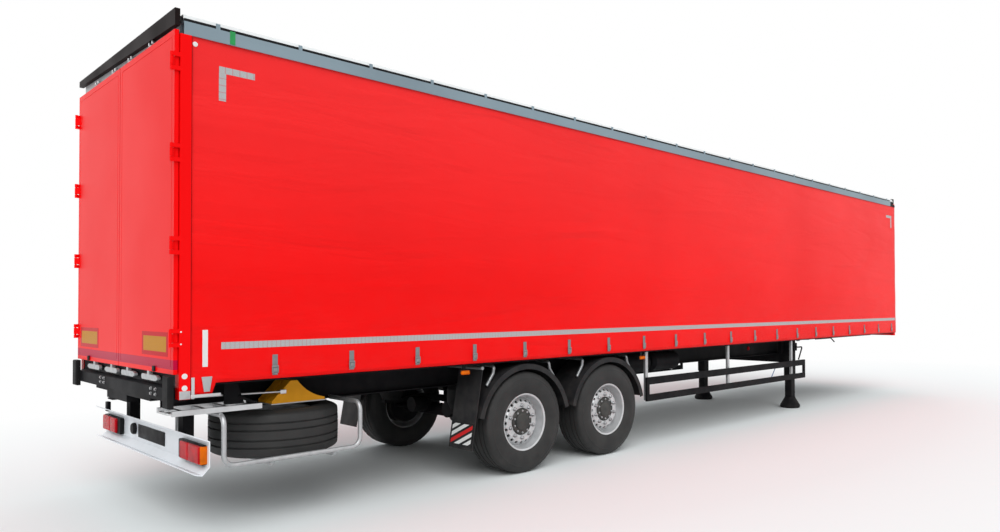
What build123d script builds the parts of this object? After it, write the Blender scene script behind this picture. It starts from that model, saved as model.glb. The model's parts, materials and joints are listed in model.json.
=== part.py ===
"""Two-axle curtain-side semi trailer, in millimetres: +X forward, +Y left, +Z up, ground at z = 0."""

import os
from math import cos, radians, sin

from build123d import *

os.makedirs("parts", exist_ok=True)

# Overall sizes
LENGTH = 13760
WIDTH = 2550
BUFFER_STANDOUT = 40
REAR = -LENGTH / 2
FRONT = LENGTH / 2
SIDE = WIDTH / 2
DOOR_FACE = REAR + BUFFER_STANDOUT
SIDES = (("right", -1), ("left", 1))
SEAT = 0.3

# Floor and chassis
FLOOR_TOP = 1240
DECK_THICK = 28
DECK_UNDER = FLOOR_TOP - DECK_THICK
FLOOR_HALF = SIDE - 80
SILL_FRONT = DOOR_FACE + 112
FLOOR_RAIL_BOTTOM = DECK_UNDER - 52
FLOOR_RAIL_OUT = SIDE - 19.3
FLOOR_RAIL_WALL = 6
RAIL_Y = 650
RAIL_BOTTOM = FLOOR_TOP - 335
NECK_BOTTOM = FLOOR_TOP - 125
NECK_START = DOOR_FACE + 10080
NECK_END = DOOR_FACE + 10500
NECK_MITRE = 6
FLANGE_HALF = 70
FLANGE_THICK = 12
WEB_HALF = 4
WEB_OUT = RAIL_Y + WEB_HALF
FLANGE_OUT = RAIL_Y + FLANGE_HALF
MEMBER_FIRST = DOOR_FACE + 458
MEMBER_PITCH = 638
MEMBER_COUNT = 21
MEMBER_BOTTOM = DECK_UNDER - 80
MEMBER_FLANGE = 48
MEMBER_WALL = 6

# Body
WALL_REAR = FRONT - 60
WALL_FRONT = FRONT - 25
CORNER_REAR = FRONT - 95
CORNER_BEVEL = 25
ROOF_RAIL_TOP = 3790
ROOF_RAIL_BOTTOM = ROOF_RAIL_TOP - 95
ROOF_RAIL_IN = SIDE - 75
ROOF_RAIL_WALL = 8
ROOF_RAIL_REAR = DOOR_FACE + 58.3
ROOF_RAIL_FRONT = FRONT - 250
POST_TOP_FRONT = ROOF_RAIL_TOP - 30
BEAM_TOP = ROOF_RAIL_TOP + 85
CURTAIN_OUT = SIDE - 13
CURTAIN_IN = CURTAIN_OUT - 6
CURTAIN_BOTTOM = FLOOR_TOP - 67
CURTAIN_CORNER = FLOOR_TOP - 155
CURTAIN_TOP = ROOF_RAIL_TOP - 35
BOW_FIRST = DOOR_FACE + 300
BOW_PITCH = 650
BOW_COUNT = 21
BUCKLE_FIRST = DOOR_FACE + 747
BUCKLE_PITCH = 670.6
BUCKLE_COUNT = 20

# Rear doors
DOOR_THICK = 30
DOOR_EDGE = SIDE - 19
DOOR_SEAM = 5
DOOR_BOTTOM = FLOOR_TOP + 10
DOOR_TOP = ROOF_RAIL_TOP - 68
DOOR_HEIGHT = DOOR_TOP - DOOR_BOTTOM
DOOR_FRAME = 46
GROOVE_WIDE = 7
GROOVE_DEEP = 2
PIN_X = DOOR_FACE - 20
PIN_Y = SIDE - 13
PIN_R = 8
KNUCKLE_R = 13
KNUCKLE_HALF = 30
LUG_SPANS = ((-65, -35), (35, 65))
HINGE_SHARES = (0.105, 0.372, 0.641, 0.906)
HINGE_HEIGHTS = [DOOR_BOTTOM + share * DOOR_HEIGHT for share in HINGE_SHARES]
POST_REAR = DOOR_FACE + 35
POST_BOTTOM = FLOOR_TOP - 171

# Wheels and suspension
TYRE_R = 525
TYRE_HALF = 192.5
TREAD_HALF = 150
WHEEL_Y = 1070
AXLE_REAR = DOOR_FACE + 3458
AXLE_SPACING = 1330
AXLES = (("rear", AXLE_REAR), ("front", AXLE_REAR + AXLE_SPACING))
BEAD_R = 286
SPINDLE_R = 45
AXLE_TUBE_R = 73
PIVOT_AHEAD = 500
PIVOT_Z = TYRE_R + 35
PIVOT_R = 15
SPRING_BEHIND = 380
ARM_UNDER = TYRE_R + 80
ARM_TOP = TYRE_R + 147
SPRING_FOOT = TYRE_R + 115
ARM_IN = 620
ARM_OUT = 680

# Coupling
KINGPIN_X = DOOR_FACE + 12040
COUPLING_PLATE_THICK = 12
PLATE_UNDER = NECK_BOTTOM - COUPLING_PLATE_THICK

# Landing gear
LEG_X = DOOR_FACE + 9995
LEG_Y = 858
LEG_HALF = 70
LEG_TOP = FLOOR_TOP - 112

# Spare wheel
SPARE = (DOOR_FACE + 1030, -656, RAIL_BOTTOM - 9 - TYRE_HALF)


def block(xs, ys, zs, mode=Mode.ADD):
    """Box between three pairs of limits."""
    with Locations(((xs[0] + xs[1]) / 2, (ys[0] + ys[1]) / 2, (zs[0] + zs[1]) / 2)):
        Box(abs(xs[1] - xs[0]), abs(ys[1] - ys[0]), abs(zs[1] - zs[0]), mode=mode)


def slab_y(outline, ys, mode=Mode.ADD):
    """Outline in (x, z), drawn out across between two y limits."""
    low, high = min(ys), max(ys)
    with BuildSketch(Plane.XZ.offset(-high)) as face:
        with BuildLine():
            Polyline(*outline, close=True)
        make_face()
    extrude(face.sketch, amount=high - low, mode=mode)


def slab_x(outline, xs, mode=Mode.ADD):
    """Outline in (y, z), drawn out lengthwise between two x limits."""
    low, high = min(xs), max(xs)
    with BuildSketch(Plane.YZ.offset(low)) as face:
        with BuildLine():
            Polyline(*outline, close=True)
        make_face()
    extrude(face.sketch, amount=high - low, mode=mode)


def slab_z(outline, zs, mode=Mode.ADD):
    """Outline in (x, y), drawn out upward between two z limits."""
    low, high = min(zs), max(zs)
    with BuildSketch(Plane.XY.offset(low)) as face:
        with BuildLine():
            Polyline(*outline, close=True)
        make_face()
    extrude(face.sketch, amount=high - low, mode=mode)


def turned(outline, centre, along, normal, mode=Mode.ADD):
    """Outline in (distance along the axis, radius), turned about the axis through the centre."""
    with BuildSketch(Plane(origin=centre, x_dir=along, z_dir=normal)) as face:
        with BuildLine():
            Polyline(*outline, close=True)
        make_face()
    revolve(face.sketch, axis=Axis(centre, along), mode=mode)


def tube(points, radius, bend):
    """Round bar along a bent path."""
    start = Vector(*points[0])
    with BuildLine() as path:
        if bend:
            FilletPolyline(*points, radius=bend)
        else:
            Polyline(*points)
    with BuildSketch(Plane(origin=points[0], z_dir=Vector(*points[1]) - start)) as face:
        Circle(radius)
    sweep(face.sketch, path=path.line)


def arc_band(centre, radii, ends, ys):
    """Part of a ring in the (x, z) plane between two angles, drawn out across between two y limits."""
    low, high = min(ys), max(ys)
    x, z = centre
    inner, outer = radii
    first, last = ends
    with BuildSketch(Plane.XZ.offset(-high)) as face:
        with BuildLine():
            for radius in radii:
                CenterArc((x, z), radius, first, last - first)
            for angle in ends:
                turn = (cos(radians(angle)), sin(radians(angle)))
                Line(
                    (x + inner * turn[0], z + inner * turn[1]),
                    (x + outer * turn[0], z + outer * turn[1]),
                )
        make_face()
    extrude(face.sketch, amount=high - low)


# Floor deck
with BuildPart() as floor_deck:
    block((SILL_FRONT, WALL_REAR), (-FLOOR_HALF, FLOOR_HALF), (DECK_UNDER, FLOOR_TOP))
floor_deck.part.label = "floor_deck"
export_step(floor_deck.part, "parts/floor_deck.step")

# Channel rails along both edges of the floor
with BuildPart() as floor_side_rails:
    for name, side in SIDES:
        channel = [
            (side * FLOOR_HALF, FLOOR_RAIL_BOTTOM),
            (side * FLOOR_RAIL_OUT, FLOOR_RAIL_BOTTOM),
            (side * FLOOR_RAIL_OUT, FLOOR_RAIL_BOTTOM + FLOOR_RAIL_WALL),
            (side * (FLOOR_HALF + FLOOR_RAIL_WALL), FLOOR_RAIL_BOTTOM + FLOOR_RAIL_WALL),
            (side * (FLOOR_HALF + FLOOR_RAIL_WALL), FLOOR_TOP - FLOOR_RAIL_WALL),
            (side * FLOOR_RAIL_OUT, FLOOR_TOP - FLOOR_RAIL_WALL),
            (side * FLOOR_RAIL_OUT, FLOOR_TOP),
            (side * FLOOR_HALF, FLOOR_TOP),
        ]
        slab_x(channel, (SILL_FRONT, CORNER_REAR))
floor_side_rails.part.label = "floor_side_rails"
export_step(floor_side_rails.part, "parts/floor_side_rails.step")

# Gooseneck main rails
with BuildPart() as main_rails:
    for name, side in SIDES:
        web = [
            (SILL_FRONT, RAIL_BOTTOM),
            (NECK_START, RAIL_BOTTOM),
            (NECK_END, NECK_BOTTOM),
            (WALL_REAR, NECK_BOTTOM),
            (WALL_REAR, DECK_UNDER),
            (SILL_FRONT, DECK_UNDER),
        ]
        lower_flange = [
            (SILL_FRONT, RAIL_BOTTOM),
            (NECK_START, RAIL_BOTTOM),
            (NECK_END, NECK_BOTTOM),
            (WALL_REAR, NECK_BOTTOM),
            (WALL_REAR, NECK_BOTTOM + FLANGE_THICK),
            (NECK_END - NECK_MITRE, NECK_BOTTOM + FLANGE_THICK),
            (NECK_START - NECK_MITRE, RAIL_BOTTOM + FLANGE_THICK),
            (SILL_FRONT, RAIL_BOTTOM + FLANGE_THICK),
        ]
        middle = side * RAIL_Y
        width = (middle - FLANGE_HALF, middle + FLANGE_HALF)
        slab_y(web, (middle - WEB_HALF, middle + WEB_HALF))
        slab_y(lower_flange, width)
        block((SILL_FRONT, WALL_REAR), width, (DECK_UNDER - FLANGE_THICK, DECK_UNDER))
main_rails.part.label = "main_rails"
export_step(main_rails.part, "parts/main_rails.step")

# Posts that carry the underrun beam
BEAM_WEB = DOOR_FACE + 254
BEAM_PLATE = 8
POST_DEEP = 85
POST_HALF = 50
POST_FOOT = 560
with BuildPart() as underrun_posts:
    for name, side in SIDES:
        block(
            (BEAM_WEB + BEAM_PLATE, BEAM_WEB + BEAM_PLATE + POST_DEEP),
            (side * (RAIL_Y - POST_HALF), side * (RAIL_Y + POST_HALF)),
            (POST_FOOT, RAIL_BOTTOM),
        )
underrun_posts.part.label = "underrun_posts"
export_step(underrun_posts.part, "parts/underrun_posts.step")

# Cross members between the main rails
with BuildPart() as cross_members:
    for index in range(MEMBER_COUNT):
        x = MEMBER_FIRST + index * MEMBER_PITCH
        channel = [
            (x, MEMBER_BOTTOM),
            (x, DECK_UNDER),
            (x - MEMBER_FLANGE, DECK_UNDER),
            (x - MEMBER_FLANGE, DECK_UNDER - MEMBER_WALL),
            (x - MEMBER_WALL, DECK_UNDER - MEMBER_WALL),
            (x - MEMBER_WALL, MEMBER_BOTTOM + MEMBER_WALL),
            (x - MEMBER_FLANGE, MEMBER_BOTTOM + MEMBER_WALL),
            (x - MEMBER_FLANGE, MEMBER_BOTTOM),
        ]
        slab_y(channel, (-RAIL_Y + FLANGE_HALF, RAIL_Y - FLANGE_HALF))
cross_members.part.label = "cross_members"
export_step(cross_members.part, "parts/cross_members.step")

# Tapered outriggers from the main rails to the floor side rails
OUTRIGGER_ROOT = DECK_UNDER - 82
OUTRIGGER_TIP = DECK_UNDER - 62
with BuildPart() as outriggers:
    for index in range(MEMBER_COUNT):
        x = MEMBER_FIRST + index * MEMBER_PITCH
        for name, side in SIDES:
            root = side * FLANGE_OUT
            tip = side * FLOOR_HALF
            web = [(root, OUTRIGGER_ROOT), (tip, OUTRIGGER_TIP), (tip, DECK_UNDER), (root, DECK_UNDER)]
            lip = [
                (root, OUTRIGGER_ROOT),
                (tip, OUTRIGGER_TIP),
                (tip, OUTRIGGER_TIP + MEMBER_WALL),
                (root, OUTRIGGER_ROOT + MEMBER_WALL),
            ]
            slab_x(web, (x - MEMBER_WALL, x))
            slab_x(lip, (x - MEMBER_FLANGE, x - MEMBER_WALL))
outriggers.part.label = "outriggers"
export_step(outriggers.part, "parts/outriggers.step")

# Coupling plate under the neck
SPIGOT_R = 50
PLATE_REAR = DOOR_FACE + 11300
with BuildPart() as coupling_plate:
    block((PLATE_REAR, WALL_REAR), (-FLANGE_OUT, FLANGE_OUT), (PLATE_UNDER, NECK_BOTTOM))
    with Locations((KINGPIN_X, 0, NECK_BOTTOM)):
        Cylinder(SPIGOT_R + SEAT, 4 * COUPLING_PLATE_THICK, mode=Mode.SUBTRACT)
coupling_plate.part.label = "coupling_plate"
export_step(coupling_plate.part, "parts/coupling_plate.step")

# Two-inch kingpin, as (height from the neck's underside, radius)
KINGPIN_OUTLINE = [
    (20, 0),
    (20, 90),
    (0, 90),
    (0, SPIGOT_R),
    (-COUPLING_PLATE_THICK, SPIGOT_R),
    (-COUPLING_PLATE_THICK, 36.5),
    (-47, 36.5),
    (-47, 25.4),
    (-82, 25.4),
    (-82, 35.75),
    (-96, 35.75),
    (-96, 0),
]
with BuildPart() as kingpin:
    turned(KINGPIN_OUTLINE, (KINGPIN_X, 0, NECK_BOTTOM), (0, 0, 1), (0, 1, 0))
kingpin.part.label = "kingpin"
export_step(kingpin.part, "parts/kingpin.step")

# Rear sill with the recess for the lock handles, its lower flange and the towing bracket
SILL_BOTTOM = FLOOR_TOP - 195
RECESS = DOOR_FACE + 40
FLANGE_BOTTOM = FLOOR_TOP - 225
FLANGE_REAR = DOOR_FACE + 20
BRACKET_BOTTOM = FLOOR_TOP - 285
BRACKET_REAR = DOOR_FACE + 30
BRACKET_YS = (-110, 430)
RECESS_LEDGE = FLOOR_TOP - 82
SILL_BROW = FLOOR_TOP - 100
with BuildPart() as rear_sill:
    section = [
        (RECESS, FLOOR_TOP),
        (SILL_FRONT, FLOOR_TOP),
        (SILL_FRONT, SILL_BOTTOM),
        (DOOR_FACE, SILL_BOTTOM),
        (DOOR_FACE, SILL_BROW),
        (RECESS, RECESS_LEDGE),
    ]
    slab_y(section, (-FLOOR_HALF, FLOOR_HALF))
    block((FLANGE_REAR, SILL_FRONT), (-FLANGE_OUT, FLANGE_OUT), (FLANGE_BOTTOM, SILL_BOTTOM))
    block((BRACKET_REAR, SILL_FRONT), BRACKET_YS, (BRACKET_BOTTOM, FLANGE_BOTTOM))
rear_sill.part.label = "rear_sill"
export_step(rear_sill.part, "parts/rear_sill.step")

# Rubber dock buffers
BUFFER_IN = SIDE - 125
BUFFER_OUT = SIDE - 3
BUFFER_BOTTOM = FLOOR_TOP - 234
BUFFER_ROUND = 14
with BuildPart() as dock_buffers:
    for name, side in SIDES:
        block((REAR, DOOR_FACE), (side * BUFFER_IN, side * BUFFER_OUT), (BUFFER_BOTTOM, FLOOR_TOP))
    rear_faces = dock_buffers.faces().filter_by(Axis.X).group_by(Axis.X)[0]
    fillet(rear_faces.edges(), BUFFER_ROUND)
dock_buffers.part.label = "dock_buffers"
export_step(dock_buffers.part, "parts/dock_buffers.step")

# Rear corner posts with hinge lugs and pins
PIN_LONG = 100
with BuildPart() as rear_corner_posts:
    for name, side in SIDES:
        block(
            (POST_REAR, SILL_FRONT),
            (side * FLOOR_HALF, side * SIDE),
            (POST_BOTTOM, ROOF_RAIL_BOTTOM - SEAT),
        )
        for height in HINGE_HEIGHTS:
            for low, high in LUG_SPANS:
                block((PIN_X, POST_REAR), (side * PIN_Y, side * SIDE), (height + low, height + high))
                with Locations((PIN_X, side * PIN_Y, height + (low + high) / 2)):
                    Cylinder(KNUCKLE_R, high - low)
            with Locations((PIN_X, side * PIN_Y, height)):
                Cylinder(PIN_R, PIN_LONG)
rear_corner_posts.part.label = "rear_corner_posts"
export_step(rear_corner_posts.part, "parts/rear_corner_posts.step")

# Rear header above the doors
HEADER_FACE = DOOR_FACE + 36
HEADER_STEP = DOOR_FACE + 58
HEADER_UNDER = ROOF_RAIL_BOTTOM - 5
HEADER_TOP = ROOF_RAIL_TOP + 50
HEADER_LIP = DOOR_TOP + 2
with BuildPart() as rear_header:
    section = [
        (HEADER_FACE, HEADER_LIP),
        (HEADER_FACE, HEADER_TOP),
        (HEADER_STEP, HEADER_TOP),
        (HEADER_STEP, ROOF_RAIL_TOP),
        (SILL_FRONT, ROOF_RAIL_TOP),
        (SILL_FRONT, HEADER_UNDER),
        (HEADER_STEP, HEADER_UNDER),
        (HEADER_STEP, HEADER_LIP),
    ]
    slab_y(section, (-FLOOR_HALF, FLOOR_HALF))
rear_header.part.label = "rear_header"
export_step(rear_header.part, "parts/rear_header.step")

# Front wall with shallow upright grooves
FRONT_POST_IN = SIDE - 100
WALL_GROOVES = 9
WALL_GROOVE_PITCH = 235
WALL_GROOVE_HALF = 12
WALL_GROOVE_FOOT = FLOOR_TOP + 60
with BuildPart() as front_wall:
    block((WALL_REAR, WALL_FRONT), (-FRONT_POST_IN, FRONT_POST_IN), (NECK_BOTTOM, POST_TOP_FRONT))
    for index in range(WALL_GROOVES):
        y = (index - (WALL_GROOVES - 1) / 2) * WALL_GROOVE_PITCH
        block(
            (WALL_FRONT - GROOVE_DEEP, WALL_FRONT),
            (y - WALL_GROOVE_HALF, y + WALL_GROOVE_HALF),
            (WALL_GROOVE_FOOT, POST_TOP_FRONT),
            mode=Mode.SUBTRACT,
        )
front_wall.part.label = "front_wall"
export_step(front_wall.part, "parts/front_wall.step")

# Front corner posts
with BuildPart() as front_corner_posts:
    for name, side in SIDES:
        section = [
            (CORNER_REAR, side * FLOOR_HALF),
            (WALL_REAR, side * FLOOR_HALF),
            (WALL_REAR, side * FRONT_POST_IN),
            (FRONT, side * FRONT_POST_IN),
            (FRONT, side * (FLOOR_RAIL_OUT - CORNER_BEVEL)),
            (FRONT - CORNER_BEVEL, side * FLOOR_RAIL_OUT),
            (CORNER_REAR, side * FLOOR_RAIL_OUT),
        ]
        slab_z(section, (NECK_BOTTOM, POST_TOP_FRONT))
front_corner_posts.part.label = "front_corner_posts"
export_step(front_corner_posts.part, "parts/front_corner_posts.step")

# Roof side rails: channels open below for the curtain runners, with bow fittings on top
FITTING_HALF = 15
FITTING_YS = (SIDE - 11, SIDE - 3)
FITTING_HIGH = 40
with BuildPart() as roof_side_rails:
    for name, side in SIDES:
        channel = [
            (side * ROOF_RAIL_IN, ROOF_RAIL_BOTTOM),
            (side * ROOF_RAIL_IN, ROOF_RAIL_TOP),
            (side * SIDE, ROOF_RAIL_TOP),
            (side * SIDE, ROOF_RAIL_BOTTOM),
            (side * (SIDE - ROOF_RAIL_WALL), ROOF_RAIL_BOTTOM),
            (side * (SIDE - ROOF_RAIL_WALL), ROOF_RAIL_TOP - ROOF_RAIL_WALL),
            (side * (ROOF_RAIL_IN + ROOF_RAIL_WALL), ROOF_RAIL_TOP - ROOF_RAIL_WALL),
            (side * (ROOF_RAIL_IN + ROOF_RAIL_WALL), ROOF_RAIL_BOTTOM),
        ]
        slab_x(channel, (ROOF_RAIL_REAR, ROOF_RAIL_FRONT))
        for index in range(BOW_COUNT):
            x = BOW_FIRST + index * BOW_PITCH
            block(
                (x - FITTING_HALF, x + FITTING_HALF),
                (side * FITTING_YS[0], side * FITTING_YS[1]),
                (ROOF_RAIL_TOP, ROOF_RAIL_TOP + FITTING_HIGH),
            )
roof_side_rails.part.label = "roof_side_rails"
export_step(roof_side_rails.part, "parts/roof_side_rails.step")

# Crowned roof bows, with heights above the roof side rails
BOW_HALF = 20
BOW_OUT = SIDE - 43
BOW_FOOT = SIDE - 80
BOW_EDGE_UNDER = ROOF_RAIL_TOP + 10
BOW_CROWN_UNDER = ROOF_RAIL_TOP + 25
BOW_EDGE_TOP = ROOF_RAIL_TOP + 47
BOW_CROWN_TOP = ROOF_RAIL_TOP + 62.7
with BuildPart() as roof_bows:
    for index in range(BOW_COUNT):
        x = BOW_FIRST + index * BOW_PITCH
        crown = [
            (-BOW_OUT, ROOF_RAIL_TOP),
            (-BOW_FOOT, ROOF_RAIL_TOP),
            (-BOW_FOOT, BOW_EDGE_UNDER),
            (0, BOW_CROWN_UNDER),
            (BOW_FOOT, BOW_EDGE_UNDER),
            (BOW_FOOT, ROOF_RAIL_TOP),
            (BOW_OUT, ROOF_RAIL_TOP),
            (BOW_OUT, BOW_EDGE_TOP),
            (0, BOW_CROWN_TOP),
            (-BOW_OUT, BOW_EDGE_TOP),
        ]
        slab_x(crown, (x - BOW_HALF, x + BOW_HALF))
roof_bows.part.label = "roof_bows"
export_step(roof_bows.part, "parts/roof_bows.step")

# Roof tarp, a shallow cover with skirts down to the side rails
TARP_THICK = 7
TARP_SKIRT = 6
TARP_FOOT = CURTAIN_OUT
TARP_SHOULDER = TARP_FOOT - 17
TARP_EDGE_TOP = BOW_EDGE_TOP + 8
TARP_CROWN = BOW_CROWN_TOP + SEAT + TARP_THICK
FRONT_BEAM_REAR = FRONT - 80
with BuildPart() as roof_tarp:
    cover = [
        (-TARP_FOOT, ROOF_RAIL_TOP + SEAT),
        (-TARP_SHOULDER, TARP_EDGE_TOP),
        (0, TARP_CROWN),
        (TARP_SHOULDER, TARP_EDGE_TOP),
        (TARP_FOOT, ROOF_RAIL_TOP + SEAT),
        (TARP_FOOT - TARP_SKIRT, ROOF_RAIL_TOP + SEAT),
        (TARP_SHOULDER - TARP_SKIRT, TARP_EDGE_TOP - TARP_THICK),
        (0, TARP_CROWN - TARP_THICK),
        (-TARP_SHOULDER + TARP_SKIRT, TARP_EDGE_TOP - TARP_THICK),
        (-TARP_FOOT + TARP_SKIRT, ROOF_RAIL_TOP + SEAT),
    ]
    slab_x(cover, (HEADER_STEP + SEAT, FRONT_BEAM_REAR - SEAT))
roof_tarp.part.label = "roof_tarp"
export_step(roof_tarp.part, "parts/roof_tarp.step")

# Roof end beams, the rear one deeper on the right, and the slanted brackets at the front corners
BEAM_HALF = SIDE - 13
BEAM_UNDER_RIGHT = ROOF_RAIL_TOP - 38
BEAM_UNDER_LEFT = ROOF_RAIL_TOP + 32
FRONT_BEAM_FRONT = FRONT - 5
BRACKET_FRONT = FRONT - 20
BRACKET_TIP = ROOF_RAIL_TOP - 65
BRACKET_IN = CURTAIN_OUT + 1
with BuildPart() as roof_end_beams:
    rear_beam = [
        (-BEAM_HALF, BEAM_UNDER_RIGHT),
        (BEAM_HALF, BEAM_UNDER_LEFT),
        (BEAM_HALF, BEAM_TOP),
        (-BEAM_HALF, BEAM_TOP),
    ]
    slab_x(rear_beam, (DOOR_FACE, HEADER_FACE))
    front_half = SIDE - CORNER_BEVEL
    block((FRONT_BEAM_REAR, FRONT_BEAM_FRONT), (-front_half, front_half), (POST_TOP_FRONT, TARP_CROWN))
    for name, side in SIDES:
        bracket = [
            (ROOF_RAIL_FRONT, ROOF_RAIL_BOTTOM),
            (ROOF_RAIL_FRONT, ROOF_RAIL_TOP),
            (BRACKET_FRONT, BRACKET_TIP),
            (BRACKET_FRONT, ROOF_RAIL_BOTTOM),
        ]
        slab_y(bracket, (side * BRACKET_IN, side * SIDE))
roof_end_beams.part.label = "roof_end_beams"
export_step(roof_end_beams.part, "parts/roof_end_beams.step")

# Side pillars behind the curtains
PILLARS = (3400, 6800, 10200)
PILLAR_HALF = 50
PILLAR_OUT = SIDE - 25
with BuildPart() as side_pillars:
    for ahead in PILLARS:
        for name, side in SIDES:
            block(
                (DOOR_FACE + ahead - PILLAR_HALF, DOOR_FACE + ahead + PILLAR_HALF),
                (side * ROOF_RAIL_IN, side * PILLAR_OUT),
                (FLOOR_TOP, ROOF_RAIL_BOTTOM),
            )
side_pillars.part.label = "side_pillars"
export_step(side_pillars.part, "parts/side_pillars.step")

# Side curtains, with the longer rear corner
CURTAIN_REAR = DOOR_FACE + 115
CORNER_END = DOOR_FACE + 270
CORNER_SLANT = DOOR_FACE + 300
for name, side in SIDES:
    with BuildPart() as curtain:
        sheet = [
            (CURTAIN_REAR, CURTAIN_CORNER),
            (CORNER_END, CURTAIN_CORNER),
            (CORNER_SLANT, CURTAIN_BOTTOM),
            (FRONT, CURTAIN_BOTTOM),
            (FRONT, CURTAIN_TOP),
            (CURTAIN_REAR, CURTAIN_TOP),
        ]
        slab_y(sheet, (side * CURTAIN_IN, side * CURTAIN_OUT))
    curtain.part.label = f"curtain_{name}"
    export_step(curtain.part, f"parts/curtain_{name}.step")

# Strap buckles along the lower edge of the curtains
STRAP_HALF = 22
STRAP_THICK = 5
STRAP_ZS = (FLOOR_TOP - 41, FLOOR_TOP + 119)
BUCKLE_HALF = 27
BUCKLE_ZS = (FLOOR_TOP - 25, FLOOR_TOP + 35)
with BuildPart() as curtain_buckles:
    for index in range(BUCKLE_COUNT):
        x = BUCKLE_FIRST + index * BUCKLE_PITCH
        for name, side in SIDES:
            outer = side * (CURTAIN_OUT + SEAT)
            block((x - STRAP_HALF, x + STRAP_HALF), (outer, side * (CURTAIN_OUT + STRAP_THICK)), STRAP_ZS)
            block((x - BUCKLE_HALF, x + BUCKLE_HALF), (outer, side * SIDE), BUCKLE_ZS)
curtain_buckles.part.label = "curtain_buckles"
export_step(curtain_buckles.part, "parts/curtain_buckles.step")

# Rear doors: panel with a framed face and hinge knuckles, then the lock gear
LEAF_ROOT = DOOR_EDGE - 26
LEAF_THICK = 8
LEVER_ZS = (FLOOR_TOP - 60, FLOOR_TOP - 18)
LEVER_XS = (DOOR_FACE + 2, DOOR_FACE + 26)
LEVER_END = 14
SHAFT_XS = (DOOR_FACE + 2, DOOR_FACE + 28)
SHAFT_HALF = 22
SHAFT_ROOT = LEVER_ZS[1] - 5
CAM_HALF = 30
CAM_HIGH = 9
# Each lock as (rod, lever's near end, lever's far end), from the middle outwards
LOCKS = ((215, 60, 400), (720, 565, 925))
for name, side in SIDES:
    with BuildPart() as door_panel:
        block(
            (DOOR_FACE, DOOR_FACE + DOOR_THICK),
            (side * DOOR_SEAM, side * DOOR_EDGE),
            (DOOR_BOTTOM, DOOR_TOP),
        )
        low_y, high_y = DOOR_SEAM + DOOR_FRAME, DOOR_EDGE - DOOR_FRAME
        low_z, high_z = DOOR_BOTTOM + DOOR_FRAME, DOOR_TOP - DOOR_FRAME
        grooves = (
            (low_y, high_y, low_z, low_z + GROOVE_WIDE),
            (low_y, high_y, high_z - GROOVE_WIDE, high_z),
            (low_y, low_y + GROOVE_WIDE, low_z, high_z),
            (high_y - GROOVE_WIDE, high_y, low_z, high_z),
        )
        for near, far, low, high in grooves:
            block(
                (DOOR_FACE, DOOR_FACE + GROOVE_DEEP),
                (side * near, side * far),
                (low, high),
                mode=Mode.SUBTRACT,
            )
        for height in HINGE_HEIGHTS:
            leaf = [
                (PIN_X - KNUCKLE_R, side * PIN_Y),
                (PIN_X, side * (PIN_Y - KNUCKLE_R)),
                (DOOR_FACE, side * LEAF_ROOT),
                (DOOR_FACE + LEAF_THICK, side * LEAF_ROOT),
                (DOOR_FACE + LEAF_THICK, side * DOOR_EDGE),
                (PIN_X + KNUCKLE_R, side * PIN_Y),
            ]
            slab_z(leaf, (height - KNUCKLE_HALF, height + KNUCKLE_HALF))
            with Locations((PIN_X, side * PIN_Y, height)):
                Cylinder(KNUCKLE_R, 2 * KNUCKLE_HALF)
                Cylinder(PIN_R + SEAT, 3 * KNUCKLE_HALF, mode=Mode.SUBTRACT)
    door_panel.part.label = f"door_{name}_panel"
    export_step(door_panel.part, f"parts/door_{name}_panel.step")

    with BuildPart() as door_locks:
        for rod, near, far in LOCKS:
            lever = [
                (side * near, LEVER_ZS[0] + LEVER_END),
                (side * (near + LEVER_END), LEVER_ZS[0]),
                (side * (far - 3 * LEVER_END), LEVER_ZS[0]),
                (side * far, LEVER_ZS[0] + LEVER_END),
                (side * far, LEVER_ZS[1] - LEVER_END),
                (side * (far - 3 * LEVER_END), LEVER_ZS[1]),
                (side * (near + LEVER_END), LEVER_ZS[1]),
                (side * near, LEVER_ZS[1] - LEVER_END),
            ]
            slab_x(lever, LEVER_XS)
            shaft_ys = (side * (rod - SHAFT_HALF), side * (rod + SHAFT_HALF))
            cam_ys = (side * (rod - CAM_HALF), side * (rod + CAM_HALF))
            block(SHAFT_XS, shaft_ys, (SHAFT_ROOT, DOOR_BOTTOM))
            block(SHAFT_XS, cam_ys, (DOOR_TOP, DOOR_TOP + CAM_HIGH))
    door_locks.part.label = f"door_{name}_locks"
    export_step(door_locks.part, f"parts/door_{name}_locks.step")

# Landing legs with feet, fixing plates, gearbox and folded crank
LEG_JOINT = 520
LEG_SLIDE_HALF = 60
FOOT_TOP = 180
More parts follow.
